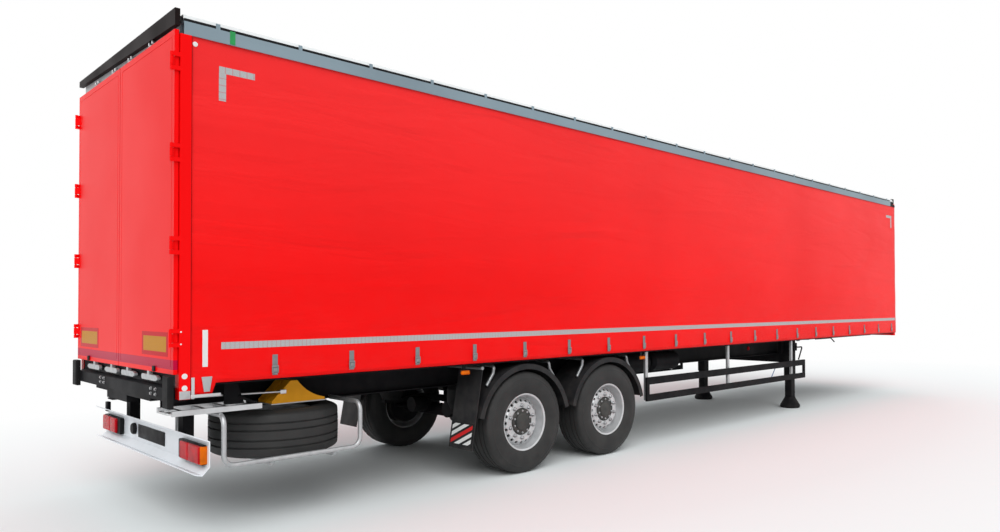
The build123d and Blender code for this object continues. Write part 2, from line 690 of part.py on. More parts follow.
# Foot as (height, radius)
FOOT_OUTLINE = [(0, 0), (0, 150), (22, 165), (50, 158), (FOOT_TOP - 20, 92), (FOOT_TOP, 84), (FOOT_TOP, 0)]
GEARBOX_HALF = 60
GEARBOX_OUT = LEG_Y + 105
GEARBOX_ZS = (FLOOR_TOP - 280, FLOOR_TOP - 150)
CRANK_Z = FLOOR_TOP - 218
CRANK_OUT = LEG_Y + 160
CRANK_R = 11
CRANK_REACH = 137
CRANK_DROP = 206
CRANK_BEND = 20
LEG_PLATE_XS = (LEG_X - 150, LEG_X + 85)
with BuildPart() as landing_legs:
    for name, side in SIDES:
        block(
            (LEG_X - LEG_HALF, LEG_X + LEG_HALF),
            (side * (LEG_Y - LEG_HALF), side * (LEG_Y + LEG_HALF)),
            (LEG_JOINT, LEG_TOP),
        )
        block(
            (LEG_X - LEG_SLIDE_HALF, LEG_X + LEG_SLIDE_HALF),
            (side * (LEG_Y - LEG_SLIDE_HALF), side * (LEG_Y + LEG_SLIDE_HALF)),
            (FOOT_TOP / 2, LEG_JOINT),
        )
        turned(FOOT_OUTLINE, (LEG_X, side * LEG_Y, 0), (0, 0, 1), (0, 1, 0))
        block(LEG_PLATE_XS, (side * FLANGE_OUT, side * (LEG_Y - LEG_HALF)), (RAIL_BOTTOM, LEG_TOP))
    block(
        (LEG_X - GEARBOX_HALF, LEG_X + GEARBOX_HALF),
        (-LEG_Y - LEG_HALF, -GEARBOX_OUT),
        GEARBOX_ZS,
    )
    tube(
        (
            (LEG_X, -GEARBOX_OUT, CRANK_Z),
            (LEG_X, -CRANK_OUT, CRANK_Z),
            (LEG_X + CRANK_REACH, -CRANK_OUT, CRANK_Z),
            (LEG_X, -CRANK_OUT, CRANK_Z - CRANK_DROP),
        ),
        CRANK_R,
        CRANK_BEND,
    )
landing_legs.part.label = "landing_legs"
export_step(landing_legs.part, "parts/landing_legs.step")

# Cross beam between the landing legs
CROSS_HALF = 30
CROSS_ZS = (755, 900)
with BuildPart() as landing_cross_beam:
    block((LEG_X - CROSS_HALF, LEG_X + CROSS_HALF), (-LEG_Y + LEG_HALF, LEG_Y - LEG_HALF), CROSS_ZS)
landing_cross_beam.part.label = "landing_cross_beam"
export_step(landing_cross_beam.part, "parts/landing_cross_beam.step")

# Side guard rails with end uprights
GUARD_REAR = DOOR_FACE + 5557
GUARD_FRONT = DOOR_FACE + 9822
GUARD_RAIL_YS = (1190, 1220)
GUARD_LOWER = (539, 620)
GUARD_UPPER = (745, 834)
UPRIGHT = 50
with BuildPart() as side_guard_rails:
    for name, side in SIDES:
        depth = (side * GUARD_RAIL_YS[0], side * GUARD_RAIL_YS[1])
        between = (GUARD_LOWER[1], GUARD_UPPER[0])
        block((GUARD_REAR, GUARD_FRONT), depth, GUARD_LOWER)
        block((GUARD_REAR, GUARD_FRONT), depth, GUARD_UPPER)
        block((GUARD_REAR, GUARD_REAR + UPRIGHT), depth, between)
        block((GUARD_FRONT - UPRIGHT, GUARD_FRONT), depth, between)
side_guard_rails.part.label = "side_guard_rails"
export_step(side_guard_rails.part, "parts/side_guard_rails.step")

# Side guard struts, fixed to the outriggers
STRUT_MEMBERS = (8, 11, 14)
STRUT_YS = (1160, 1190)
STRUT_ZS = (550, FLOOR_TOP - 40)
STRUT_WIDE = 50
with BuildPart() as side_guard_struts:
    for index in STRUT_MEMBERS:
        x = MEMBER_FIRST + index * MEMBER_PITCH
        for name, side in SIDES:
            block((x, x + STRUT_WIDE), (side * STRUT_YS[0], side * STRUT_YS[1]), STRUT_ZS)
side_guard_struts.part.label = "side_guard_struts"
export_step(side_guard_struts.part, "parts/side_guard_struts.step")

# Suspension hangers with pivot bolts
HANGER_IN = 600
HANGER_OUT = 700
HANGER_TOP_HALF = 130
HANGER_EYE = 62
HANGER_EYE_FLAT = 30
CHEEK_IN = 616
CHEEK_OUT = 684
CHEEK_SLOT_TOP = PIVOT_Z + 100
BOLT_LONG = 120
with BuildPart() as suspension_hangers:
    for place, axle in AXLES:
        x = axle + PIVOT_AHEAD
        for name, side in SIDES:
            cheek = [
                (x - HANGER_TOP_HALF, RAIL_BOTTOM),
                (x + HANGER_TOP_HALF, RAIL_BOTTOM),
                (x + HANGER_EYE, PIVOT_Z - HANGER_EYE_FLAT),
                (x + HANGER_EYE_FLAT, PIVOT_Z - HANGER_EYE),
                (x - HANGER_EYE_FLAT, PIVOT_Z - HANGER_EYE),
                (x - HANGER_EYE, PIVOT_Z - HANGER_EYE_FLAT),
            ]
            slab_y(cheek, (side * HANGER_IN, side * HANGER_OUT))
            block(
                (x - 2 * HANGER_TOP_HALF, x + 2 * HANGER_TOP_HALF),
                (side * CHEEK_IN, side * CHEEK_OUT),
                (PIVOT_Z - 2 * HANGER_EYE, CHEEK_SLOT_TOP),
                mode=Mode.SUBTRACT,
            )
            with Locations(Location((x, side * RAIL_Y, PIVOT_Z), (90, 0, 0))):
                Cylinder(PIVOT_R, BOLT_LONG)
suspension_hangers.part.label = "suspension_hangers"
export_step(suspension_hangers.part, "parts/suspension_hangers.step")

# Trailing arms with axle saddles
ARM_EYE = 40
ARM_NOSE = 52
ARM_NOSE_FLAT = 35
ARM_FLAT = 120
ARM_DIP = 100
SADDLE_HALF = 95
with BuildPart() as trailing_arms:
    for place, axle in AXLES:
        pivot = axle + PIVOT_AHEAD
        spring = axle - SPRING_BEHIND
        for name, side in SIDES:
            arm = [
                (pivot + ARM_NOSE_FLAT, PIVOT_Z - ARM_EYE),
                (pivot + ARM_NOSE, PIVOT_Z),
                (pivot + ARM_NOSE_FLAT, PIVOT_Z + ARM_EYE),
                (axle + ARM_FLAT, ARM_TOP),
                (axle - ARM_FLAT, ARM_TOP),
                (spring + ARM_FLAT, SPRING_FOOT),
                (spring - ARM_FLAT, SPRING_FOOT),
                (spring - ARM_FLAT, ARM_UNDER),
                (axle + ARM_DIP, ARM_UNDER),
                (pivot - ARM_EYE, PIVOT_Z - ARM_EYE),
            ]
            slab_y(arm, (side * ARM_IN, side * ARM_OUT))
            block(
                (axle - SADDLE_HALF, axle + SADDLE_HALF),
                (side * HANGER_IN, side * HANGER_OUT),
                (TYRE_R, SPRING_FOOT),
            )
            with Locations(Location((axle, side * RAIL_Y, TYRE_R), (90, 0, 0))):
                Cylinder(AXLE_TUBE_R + SEAT, BOLT_LONG, mode=Mode.SUBTRACT)
            with Locations(Location((pivot, side * RAIL_Y, PIVOT_Z), (90, 0, 0))):
                Cylinder(PIVOT_R + SEAT, BOLT_LONG, mode=Mode.SUBTRACT)
trailing_arms.part.label = "trailing_arms"
export_step(trailing_arms.part, "parts/trailing_arms.step")

# Air springs between the arms and the main rails, as (height, radius)
BELLOWS = [
    (SPRING_FOOT, 0),
    (SPRING_FOOT, 110),
    (SPRING_FOOT + 85, 150),
    (RAIL_BOTTOM - 45, 150),
    (RAIL_BOTTOM, 120),
    (RAIL_BOTTOM, 0),
]
with BuildPart() as air_springs:
    for place, axle in AXLES:
        for name, side in SIDES:
            turned(BELLOWS, (axle - SPRING_BEHIND, side * RAIL_Y, 0), (0, 0, 1), (0, 1, 0))
air_springs.part.label = "air_springs"
export_step(air_springs.part, "parts/air_springs.step")

# Axle beams with backing plates and spindles
BACKING_R = 215
BACKING_OUT = WHEEL_Y - 146
BACKING_IN = BACKING_OUT - 8
SPINDLE_END = WHEEL_Y + 66
with BuildPart() as axle_beams:
    for place, axle in AXLES:
        profile = [
            (-SPINDLE_END, 0),
            (-SPINDLE_END, SPINDLE_R),
            (-BACKING_OUT, SPINDLE_R),
            (-BACKING_OUT, BACKING_R),
            (-BACKING_IN, BACKING_R),
            (-BACKING_IN, AXLE_TUBE_R),
            (BACKING_IN, AXLE_TUBE_R),
            (BACKING_IN, BACKING_R),
            (BACKING_OUT, BACKING_R),
            (BACKING_OUT, SPINDLE_R),
            (SPINDLE_END, SPINDLE_R),
            (SPINDLE_END, 0),
        ]
        turned(profile, (axle, 0, TYRE_R), (0, 1, 0), (1, 0, 0))
axle_beams.part.label = "axle_beams"
export_step(axle_beams.part, "parts/axle_beams.step")

# Brake chambers with brackets and camshafts
CHAMBER_R = 85
CHAMBER_LONG = 180
CHAMBER_Y = 330
CAMSHAFT_R = 18
CAMSHAFT_BEHIND = 125
CAMSHAFT_IN = 300
CAMSHAFT_LONG = BACKING_IN - CAMSHAFT_IN - SEAT
CAMSHAFT_MIDDLE = CAMSHAFT_IN + CAMSHAFT_LONG / 2
CHAMBER_BEHIND = 240
CHAMBER_Z = TYRE_R + 75
BRAKE_PLATE_BEHIND = 160
BRAKE_PLATE_WIDE = 60
BRAKE_PLATE_FOOT = TYRE_R - 25
with BuildPart() as brake_chambers:
    for place, axle in AXLES:
        for name, side in SIDES:
            block(
                (axle - BRAKE_PLATE_BEHIND, axle - AXLE_TUBE_R - SEAT),
                (side * CAMSHAFT_IN, side * (CAMSHAFT_IN + BRAKE_PLATE_WIDE)),
                (BRAKE_PLATE_FOOT, SPRING_FOOT),
            )
            with Locations(Location((axle - CHAMBER_BEHIND, side * CHAMBER_Y, CHAMBER_Z), (0, 90, 0))):
                Cylinder(CHAMBER_R, CHAMBER_LONG)
            shaft = (axle - CAMSHAFT_BEHIND, side * CAMSHAFT_MIDDLE, TYRE_R)
            with Locations(Location(shaft, (90, 0, 0))):
                Cylinder(CAMSHAFT_R, CAMSHAFT_LONG)
brake_chambers.part.label = "brake_chambers"
export_step(brake_chambers.part, "parts/brake_chambers.step")

# Wheels: outlines in (distance outboard of the tyre's middle, radius)
BULGE_R = 400
DISC_FACE = 110
DISC_BACK = 96
DISC_HOLE_R = 140.5
TYRE_OUTLINE = [
    (-148, BEAD_R + 0.5),
    (-TYRE_HALF, BULGE_R),
    (-TREAD_HALF, TYRE_R),
    (TREAD_HALF, TYRE_R),
    (TYRE_HALF, BULGE_R),
    (148, BEAD_R + 0.5),
]
RIM_OUTLINE = [
    (-161, 299),
    (-150, BEAD_R),
    (150, BEAD_R),
    (161, 299),
    (152, 277),
    (50, 264),
    (DISC_FACE, 205),
    (DISC_FACE, DISC_HOLE_R),
    (DISC_BACK, DISC_HOLE_R),
    (DISC_BACK, 198),
    (32, 258),
    (-150, 272),
]
HUB_OUTLINE = [
    (-140, SPINDLE_R + SEAT),
    (-140, 225),
    (42, 225),
    (72, 195),
    (DISC_BACK, 195),
    (DISC_BACK, 136),
    (112, 136),
    (122, 128),
    (122, 0),
    (72, 0),
    (72, SPINDLE_R + SEAT),
]
HAND_HOLES = 10
HAND_HOLE_R = 231
HAND_HOLE = (34, 52)
HOLE_REACH = 140
for place, axle in AXLES:
    for name, side in SIDES:
        centre = (axle, side * WHEEL_Y, TYRE_R)
        outboard = (0, side, 0)
        forward = (side, 0, 0)
        with BuildPart() as tyre:
            turned(TYRE_OUTLINE, centre, outboard, forward)
        tyre.part.label = f"tyre_{place}_{name}"
        export_step(tyre.part, f"parts/tyre_{place}_{name}.step")

        with BuildPart() as rim:
            turned(RIM_OUTLINE, centre, outboard, forward)
            with BuildSketch(Plane(origin=centre, x_dir=(1, 0, 0), z_dir=outboard)) as windows:
                with PolarLocations(HAND_HOLE_R, HAND_HOLES):
                    Rectangle(*HAND_HOLE)
            extrude(windows.sketch, amount=HOLE_REACH, mode=Mode.SUBTRACT)
        rim.part.label = f"rim_{place}_{name}"
        export_step(rim.part, f"parts/rim_{place}_{name}.step")

        with BuildPart() as hub:
            turned(HUB_OUTLINE, centre, outboard, forward)
        hub.part.label = f"hub_{place}_{name}"
        export_step(hub.part, f"parts/hub_{place}_{name}.step")

# Spare wheel, lying flat under the right main rail
with BuildPart() as spare_tyre:
    turned(TYRE_OUTLINE, SPARE, (0, 0, -1), (0, -1, 0))
spare_tyre.part.label = "spare_tyre"
export_step(spare_tyre.part, "parts/spare_tyre.step")

with BuildPart() as spare_rim:
    turned(RIM_OUTLINE, SPARE, (0, 0, -1), (0, -1, 0))
    with BuildSketch(Plane(origin=SPARE, x_dir=(1, 0, 0), z_dir=(0, 0, -1))) as spare_windows:
        with PolarLocations(HAND_HOLE_R, HAND_HOLES):
            Rectangle(*HAND_HOLE)
    extrude(spare_windows.sketch, amount=HOLE_REACH, mode=Mode.SUBTRACT)
spare_rim.part.label = "spare_rim"
export_step(spare_rim.part, "parts/spare_rim.step")

# Spare wheel basket of bent tube, with the shelf for the chocks
BASKET_R = 19
BASKET_BEND = 80
BAR_R = 15
BAR_BEND = 20
BAR_Z = SPARE[2] - TYRE_HALF - BAR_R - SEAT
BAR_CLEAR = -1180
BARS = (760, 1300)
BASKET_OUT = -1230
BASKET_IN = -90
BASKET_REAR = DOOR_FACE + 369
BASKET_FRONT = DOOR_FACE + 1518
BASKET_TOP = RAIL_BOTTOM + 13
BASKET_RUN = SPARE[2] - 163
SHELF_XS = (DOOR_FACE + 835, DOOR_FACE + 1325)
SHELF_OUT = -1010
SHELF_Z = RAIL_BOTTOM + 27
SHELF_THICK = 8
with BuildPart() as spare_wheel_basket:
    outer = (
        (BASKET_REAR, -FLANGE_OUT, BASKET_TOP),
        (BASKET_REAR, BASKET_OUT, BASKET_TOP),
        (BASKET_REAR, BASKET_OUT, BASKET_RUN),
        (BASKET_FRONT, BASKET_OUT, BASKET_RUN),
        (BASKET_FRONT, BASKET_OUT, BASKET_TOP),
        (BASKET_FRONT, -FLANGE_OUT, BASKET_TOP),
    )
    tube(outer, BASKET_R, BASKET_BEND)
    hanger_front = MEMBER_FIRST + 2 * MEMBER_PITCH - MEMBER_FLANGE / 2
    hanger_rear = MEMBER_FIRST - MEMBER_FLANGE / 2
    inner = (
        (hanger_rear, BASKET_IN, MEMBER_BOTTOM),
        (hanger_rear, BASKET_IN, BAR_Z),
        (hanger_front, BASKET_IN, BAR_Z),
        (hanger_front, BASKET_IN, MEMBER_BOTTOM),
    )
    tube(inner, BASKET_R, BASKET_BEND)
    for ahead in BARS:
        x = DOOR_FACE + ahead
        bar = ((x, BASKET_OUT, BASKET_RUN), (x, BAR_CLEAR, BAR_Z), (x, BASKET_IN, BAR_Z))
        tube(bar, BAR_R, BAR_BEND)
    block(SHELF_XS, (-WEB_OUT, SHELF_OUT), (SHELF_Z, SHELF_Z + SHELF_THICK))
spare_wheel_basket.part.label = "spare_wheel_basket"
export_step(spare_wheel_basket.part, "parts/spare_wheel_basket.step")

# Stowed ladder on the basket
LADDER_XS = (DOOR_FACE + 26, DOOR_FACE + 691)
LADDER_Z = BASKET_TOP + BASKET_R + SEAT
LADDER_HIGH = 40
STILES = (-1150, -850)
STILE_HALF = 13
RUNGS = (110, 280, 450, 620)
RUNG_HALF = 15
RUNG_INSET = 8
with BuildPart() as access_ladder:
    for y in STILES:
        block(LADDER_XS, (y - STILE_HALF, y + STILE_HALF), (LADDER_Z, LADDER_Z + LADDER_HIGH))
    for ahead in RUNGS:
        block(
            (DOOR_FACE + ahead - RUNG_HALF, DOOR_FACE + ahead + RUNG_HALF),
            STILES,
            (LADDER_Z + RUNG_INSET, LADDER_Z + LADDER_HIGH - RUNG_INSET),
        )
access_ladder.part.label = "access_ladder"
export_step(access_ladder.part, "parts/access_ladder.step")

# Wheel chocks on their shelf
CHOCK_Z = SHELF_Z + SHELF_THICK + SEAT
CHOCK_HEEL = DOOR_FACE + 846
CHOCK_PEAK = (DOOR_FACE + 1003, DOOR_FACE + 1066)
CHOCK_MIDDLE = (DOOR_FACE + 1155, CHOCK_Z + 88)
CHOCK_TOE = DOOR_FACE + 1312
CHOCK_HIGH = 178
TOE_HIGH = 20
CHOCK_YS = ((-745, -865), (-880, -1000))
with BuildPart() as wheel_chocks:
    for near, far in CHOCK_YS:
        with BuildSketch(Plane.XZ.offset(-near)) as chock_side:
            with BuildLine():
                Polyline(
                    (CHOCK_PEAK[1], CHOCK_Z + CHOCK_HIGH),
                    (CHOCK_PEAK[0], CHOCK_Z + CHOCK_HIGH),
                    (CHOCK_HEEL, CHOCK_Z + TOE_HIGH),
                    (CHOCK_HEEL, CHOCK_Z),
                    (CHOCK_TOE, CHOCK_Z),
                    (CHOCK_TOE, CHOCK_Z + TOE_HIGH),
                )
                ThreePointArc(
                    (CHOCK_TOE, CHOCK_Z + TOE_HIGH),
                    CHOCK_MIDDLE,
                    (CHOCK_PEAK[1], CHOCK_Z + CHOCK_HIGH),
                )
            make_face()
        extrude(chock_side.sketch, amount=near - far)
wheel_chocks.part.label = "wheel_chocks"
export_step(wheel_chocks.part, "parts/wheel_chocks.step")

# Air tanks with their hangers on the right main rail
TANK_Y = -880
TANK_Z = RAIL_BOTTOM + 88
TANK_R = 123
TANK_END_R = 80
TANK_DOME = 40
TANKS = ((5370, 5955), (6015, 6600))
HANGER_WIDE = 40
HANGER_THICK = 10
with BuildPart() as air_tanks:
    for rear, front in TANKS:
        length = front - rear
        shell = [
            (0, 0),
            (0, TANK_END_R),
            (TANK_DOME, TANK_R),
            (length - TANK_DOME, TANK_R),
            (length, TANK_END_R),
            (length, 0),
        ]
        turned(shell, (DOOR_FACE + rear, TANK_Y, TANK_Z), (1, 0, 0), (0, -1, 0))
        for ahead in (rear + 3 * HANGER_WIDE, front - 4 * HANGER_WIDE):
            block(
                (DOOR_FACE + ahead, DOOR_FACE + ahead + HANGER_WIDE),
                (-WEB_OUT, TANK_Y - HANGER_WIDE),
                (TANK_Z + TANK_R + SEAT, TANK_Z + TANK_R + HANGER_THICK),
            )
air_tanks.part.label = "air_tanks"
export_step(air_tanks.part, "parts/air_tanks.step")

# Brake and lamp connections on the front wall
CONNECTION_ZS = (FLOOR_TOP - 80, FLOOR_TOP + 20)
CONNECTION_HALF = 300
CONNECTION_PLATE = 6
SOCKETS = (-220, -75, 75, 220)
SOCKET_R = 28
SOCKET_LONG = 14
with BuildPart() as front_connections:
    block((WALL_FRONT, WALL_FRONT + CONNECTION_PLATE), (-CONNECTION_HALF, CONNECTION_HALF), CONNECTION_ZS)
    for y in SOCKETS:
        socket_x = WALL_FRONT + CONNECTION_PLATE + SOCKET_LONG / 2
        with Locations(Location((socket_x, y, sum(CONNECTION_ZS) / 2), (0, 90, 0))):
            Cylinder(SOCKET_R, SOCKET_LONG)
front_connections.part.label = "front_connections"
export_step(front_connections.part, "parts/front_connections.step")

# Marker lamps under the floor side rails
MARKERS = (2660, 5438)
MARKER_HALF = 58
MARKER_YS = (1215, 1245)
MARKER_ZS = (FLOOR_TOP - 174, FLOOR_TOP - 124)
STEM_HALF = 20
STEM_THICK = 6
with BuildPart() as marker_lamps:
    for ahead in MARKERS:
        x = DOOR_FACE + ahead
        for name, side in SIDES:
            depth = (side * MARKER_YS[0], side * MARKER_YS[1])
            stem = (side * MARKER_YS[0], side * (MARKER_YS[0] + STEM_THICK))
            block((x - MARKER_HALF, x + MARKER_HALF), depth, MARKER_ZS)
            block((x - STEM_HALF, x + STEM_HALF), stem, (MARKER_ZS[1], FLOOR_RAIL_BOTTOM))
marker_lamps.part.label = "marker_lamps"
export_step(marker_lamps.part, "parts/marker_lamps.step")

# Mudguards with outer lips over the wheels, and the rear flaps
GUARD_R = TYRE_R + 125
GUARD_THICK = 8
GUARD_CENTRE_Z = TYRE_R - 46
GUARD_ENDS = (13.5, 166.5)
GUARD_IN = 840
GUARD_OUT = SIDE - 13
GUARD_LIP = 55
FLAP_TOP = FLOOR_TOP - 140
FLAP_FOOT = 325
FLAP_FOOT_X = DOOR_FACE + 2735
FLAP_TOP_X = DOOR_FACE + 2872
FLAP_THICK = 10
FLAP_YS = (876, 1240)
with BuildPart() as mudguards:
    for place, axle in AXLES:
        centre = (axle, GUARD_CENTRE_Z)
        for name, side in SIDES:
            shell_ys = (side * GUARD_IN, side * GUARD_OUT)
            lip_ys = (side * (GUARD_OUT - GUARD_THICK), side * GUARD_OUT)
            arc_band(centre, (GUARD_R - GUARD_THICK, GUARD_R), GUARD_ENDS, shell_ys)
            arc_band(centre, (GUARD_R - GUARD_LIP, GUARD_R), GUARD_ENDS, lip_ys)
    for name, side in SIDES:
        flap = [
            (FLAP_FOOT_X, FLAP_FOOT),
            (FLAP_FOOT_X + FLAP_THICK, FLAP_FOOT),
            (FLAP_TOP_X + FLAP_THICK, FLAP_TOP),
            (FLAP_TOP_X, FLAP_TOP),
        ]
        slab_y(flap, (side * FLAP_YS[0], side * FLAP_YS[1]))
mudguards.part.label = "mudguards"
export_step(mudguards.part, "parts/mudguards.step")

# Bent stays from the main rails to the mudguards and flaps
STAY_R = 17
STAY_BEND = 30
STAY_Z = FLOOR_TOP - 112
STAY_OUT = 1190
# Path of a stay beside its axle, as (distance from the axle, height above the guard's centre)
STAY_START = 392
STAY_KNEE = (402, 575)
STAY_END = (488, 455.4)
FLAP_STAY_X = FLAP_TOP_X + FLAP_THICK / 2
FLAP_STAY_Z = FLAP_TOP + STAY_R + SEAT
with BuildPart() as mudguard_stays:
    for name, side in SIDES:
        for place, axle in AXLES:
            for way in (-1, 1):
                tube(
                    (
                        (axle + way * STAY_START, side * WEB_OUT, STAY_Z),
                        (axle + way * STAY_START, side * STAY_OUT, STAY_Z),
                        (axle + way * STAY_KNEE[0], side * STAY_OUT, GUARD_CENTRE_Z + STAY_KNEE[1]),
                        (axle + way * STAY_END[0], side * STAY_OUT, GUARD_CENTRE_Z + STAY_END[1]),
                    ),
                    STAY_R,
                    STAY_BEND,
                )
        tube(
            (
                (FLAP_STAY_X, side * WEB_OUT, FLAP_STAY_Z),
                (FLAP_STAY_X, side * FLAP_YS[1], FLAP_STAY_Z),
            ),
            STAY_R,
            0,
        )
mudguard_stays.part.label = "mudguard_stays"
export_step(mudguard_stays.part, "parts/mudguard_stays.step")

# Folded rear underrun beam, open to the rear, as (distance ahead of the web, height)
BEAM_SECTION = [
    (-104, 784),
    (0, 738),
    (0, 556),
    (-49, 504),
    (-94, 516),
    (-96, 508),
    (-46, 495),
    (BEAM_PLATE, 552),
    (BEAM_PLATE, 744),
    (-101, 792),
]
BEAM_END = SIDE - 27
with BuildPart() as underrun_beam:
    folded = [(BEAM_WEB + ahead, height) for ahead, height in BEAM_SECTION]
    slab_y(folded, (-BEAM_END, BEAM_END))
underrun_beam.part.label = "underrun_beam"
export_step(underrun_beam.part, "parts/underrun_beam.step")

# Rear lamp units in the underrun beam
LAMP_DEEP = 59
LAMP_YS = (735, 1215)
LAMP_ZS = (566, 712)
with BuildPart() as rear_lamps:
    for name, side in SIDES:
        block((BEAM_WEB - LAMP_DEEP, BEAM_WEB), (side * LAMP_YS[0], side * LAMP_YS[1]), LAMP_ZS)
rear_lamps.part.label = "rear_lamps"
export_step(rear_lamps.part, "parts/rear_lamps.step")
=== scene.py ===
"""Dresses a packed curtain-side semi trailer: coats, cloth, tyres, lamps, straps and small fittings.

Lengths are in metres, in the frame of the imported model: +X forward, +Y left, +Z up, ground at z = 0.
"""

import json
import math

import bmesh
import bpy
from bpy.props import FloatProperty, FloatVectorProperty, IntProperty, PointerProperty
from mathutils import Matrix, Vector, noise

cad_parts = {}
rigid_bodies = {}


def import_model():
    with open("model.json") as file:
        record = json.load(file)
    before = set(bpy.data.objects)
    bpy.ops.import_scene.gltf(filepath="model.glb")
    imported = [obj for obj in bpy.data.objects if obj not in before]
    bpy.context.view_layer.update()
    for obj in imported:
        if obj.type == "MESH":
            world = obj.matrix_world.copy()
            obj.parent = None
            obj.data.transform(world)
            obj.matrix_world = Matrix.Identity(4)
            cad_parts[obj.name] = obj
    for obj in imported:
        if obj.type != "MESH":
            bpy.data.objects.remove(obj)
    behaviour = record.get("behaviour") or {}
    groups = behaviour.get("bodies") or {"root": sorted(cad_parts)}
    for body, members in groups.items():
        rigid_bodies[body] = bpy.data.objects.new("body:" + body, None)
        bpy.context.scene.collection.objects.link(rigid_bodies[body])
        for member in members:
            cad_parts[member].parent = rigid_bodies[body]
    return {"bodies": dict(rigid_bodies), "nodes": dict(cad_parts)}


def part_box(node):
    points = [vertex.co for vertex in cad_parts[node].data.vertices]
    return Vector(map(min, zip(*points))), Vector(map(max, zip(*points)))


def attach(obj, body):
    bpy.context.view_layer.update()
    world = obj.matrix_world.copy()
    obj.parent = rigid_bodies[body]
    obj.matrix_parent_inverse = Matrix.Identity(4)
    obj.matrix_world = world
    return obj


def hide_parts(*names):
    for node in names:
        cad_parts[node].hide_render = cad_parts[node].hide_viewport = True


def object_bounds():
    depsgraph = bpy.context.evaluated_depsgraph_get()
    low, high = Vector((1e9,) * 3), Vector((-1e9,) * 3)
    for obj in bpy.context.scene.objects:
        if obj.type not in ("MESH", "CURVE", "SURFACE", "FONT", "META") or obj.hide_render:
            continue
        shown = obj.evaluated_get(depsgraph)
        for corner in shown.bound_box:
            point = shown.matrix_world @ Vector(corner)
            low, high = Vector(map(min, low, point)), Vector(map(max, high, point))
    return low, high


bl_info = {
    "name": "Curtain-side trailer dressing",
    "version": (1, 0, 0),
    "blender": (4, 5, 0),
    "location": "View3D > Sidebar > Trailer",
    "description": "Coats, cloth, tyres, lamps and fittings for a curtain-side semi trailer",
    "category": "Object",
}

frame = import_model()
CAD_LOW, CAD_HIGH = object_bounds()

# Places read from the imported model
DOOR_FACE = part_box("rear_sill")[0].x
CURTAIN_LOW, CURTAIN_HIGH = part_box("curtain_right")
BUCKLE_LOW, BUCKLE_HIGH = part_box("curtain_buckles")
RAIL_LOW, RAIL_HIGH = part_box("roof_side_rails")
CURTAIN_OUT = -CURTAIN_LOW.y
WHEEL_BODIES = [name for name in frame["bodies"] if name.startswith("wheel_")]
BODY = "chassis"
SIDES = (("right", -1), ("left", 1))

# Sizes that several pieces share
CURTAIN_FOOT = 1.173
CLOTH_MID = CURTAIN_OUT - 0.0045
STRAP_COUNT = 20
BUCKLE_HALF = 0.027
STRAP_START = BUCKLE_LOW.x + BUCKLE_HALF
STRAP_PITCH = (BUCKLE_HIGH.x - BUCKLE_LOW.x - 2 * BUCKLE_HALF) / (STRAP_COUNT - 1)


def paint_setting(name, description, default):
    return FloatVectorProperty(name=name, description=description, subtype="COLOR", default=default)


def length_setting(name, description, default):
    return FloatProperty(name=name, description=description, default=default, min=0.0, unit="LENGTH")


def angle_setting(name, description, degrees):
    return FloatProperty(name=name, description=description, subtype="ANGLE", default=math.radians(degrees))


class TrailerColours(bpy.types.PropertyGroup):
    """Colours that a user would change."""

    curtain: paint_setting("Curtain", "Coated curtain cloth", (0.95, 0.0015, 0.002))
    door: paint_setting("Doors", "Gloss paint of doors and posts", (0.95, 0.002, 0.003))
    roof_rail: paint_setting("Roof rail", "Anodised roof side rail", (0.26, 0.34, 0.39))
    chassis: paint_setting("Chassis", "Chassis paint", (0.012, 0.012, 0.014))
    underrun: paint_setting("Underrun beam", "Paint of the rear beam", (0.84, 0.88, 0.92))
    wheel: paint_setting("Wheels", "Silver wheel paint", (0.64, 0.65, 0.66))
    tyre: paint_setting("Tyres", "Tyre rubber", (0.031, 0.031, 0.031))
    chock: paint_setting("Chocks", "Wheel chock plastic", (0.84, 0.36, 0.006))


class TrailerSizes(bpy.types.PropertyGroup):
    """Sizes that a user would change."""

    ripple: length_setting("Curtain ripple", "Depth of the creases", 0.0034)
    roof_sag: length_setting("Roof sag", "Dip of the roof cloth between bows", 0.006)
    tread_depth: length_setting("Tread depth", "Depth of the tyre grooves", 0.013)
    wheel_nuts: IntProperty(name="Wheel nuts", description="Nuts on each wheel", default=10, min=3)
    tape_height: length_setting("Tape height", "Height of the contour tape's middle", 1.443)


class TrailerStage(bpy.types.PropertyGroup):
    """Camera and light."""

    camera_place: FloatVectorProperty(
        name="Camera", description="Place of the camera", subtype="TRANSLATION",
        default=(-8.7454, -6.8999, 1.72775),
    )
    heading: angle_setting("Heading", "Turn from +X towards +Y", 44.524)
    pitch: angle_setting("Pitch", "Tilt above the horizon", 0.973)
    roll: angle_setting("Roll", "Camera roll", -0.2144)
    lens: FloatProperty(name="Lens", description="Focal length in millimetres", default=26.934)
    shift: FloatVectorProperty(name="Shift", description="Lens shift", size=2, default=(-0.0516, 0.0274))
    sky: FloatProperty(name="Sky", description="Strength of the sky overhead", default=1.0, min=0.0)
    horizon: FloatProperty(
        name="Horizon", description="Share of the sky's strength at the horizon",
        default=0.38, min=0.0, max=1.0,
    )
    key: FloatProperty(name="Key light", description="Strength of the soft key light", default=1.5, min=0.0)


def colours():
    return bpy.context.scene.trailer_colours


def sizes():
    return bpy.context.scene.trailer_sizes


# Shader helpers


def put(tree, kind, **settings):
    """New node with its plain settings."""
    made = tree.nodes.new(kind)
    for key, value in settings.items():
        setattr(made, key, value)
    return made


def feed(tree, target, socket, source):
    """Links a socket, or sets its number."""
    if isinstance(source, bpy.types.NodeSocket):
        tree.links.new(source, target.inputs[socket])
    else:
        target.inputs[socket].default_value = source


def maths(tree, operation, first, second=0.0):
    made = put(tree, "ShaderNodeMath", operation=operation)
    feed(tree, made, 0, first)
    feed(tree, made, 1, second)
    return made.outputs[0]


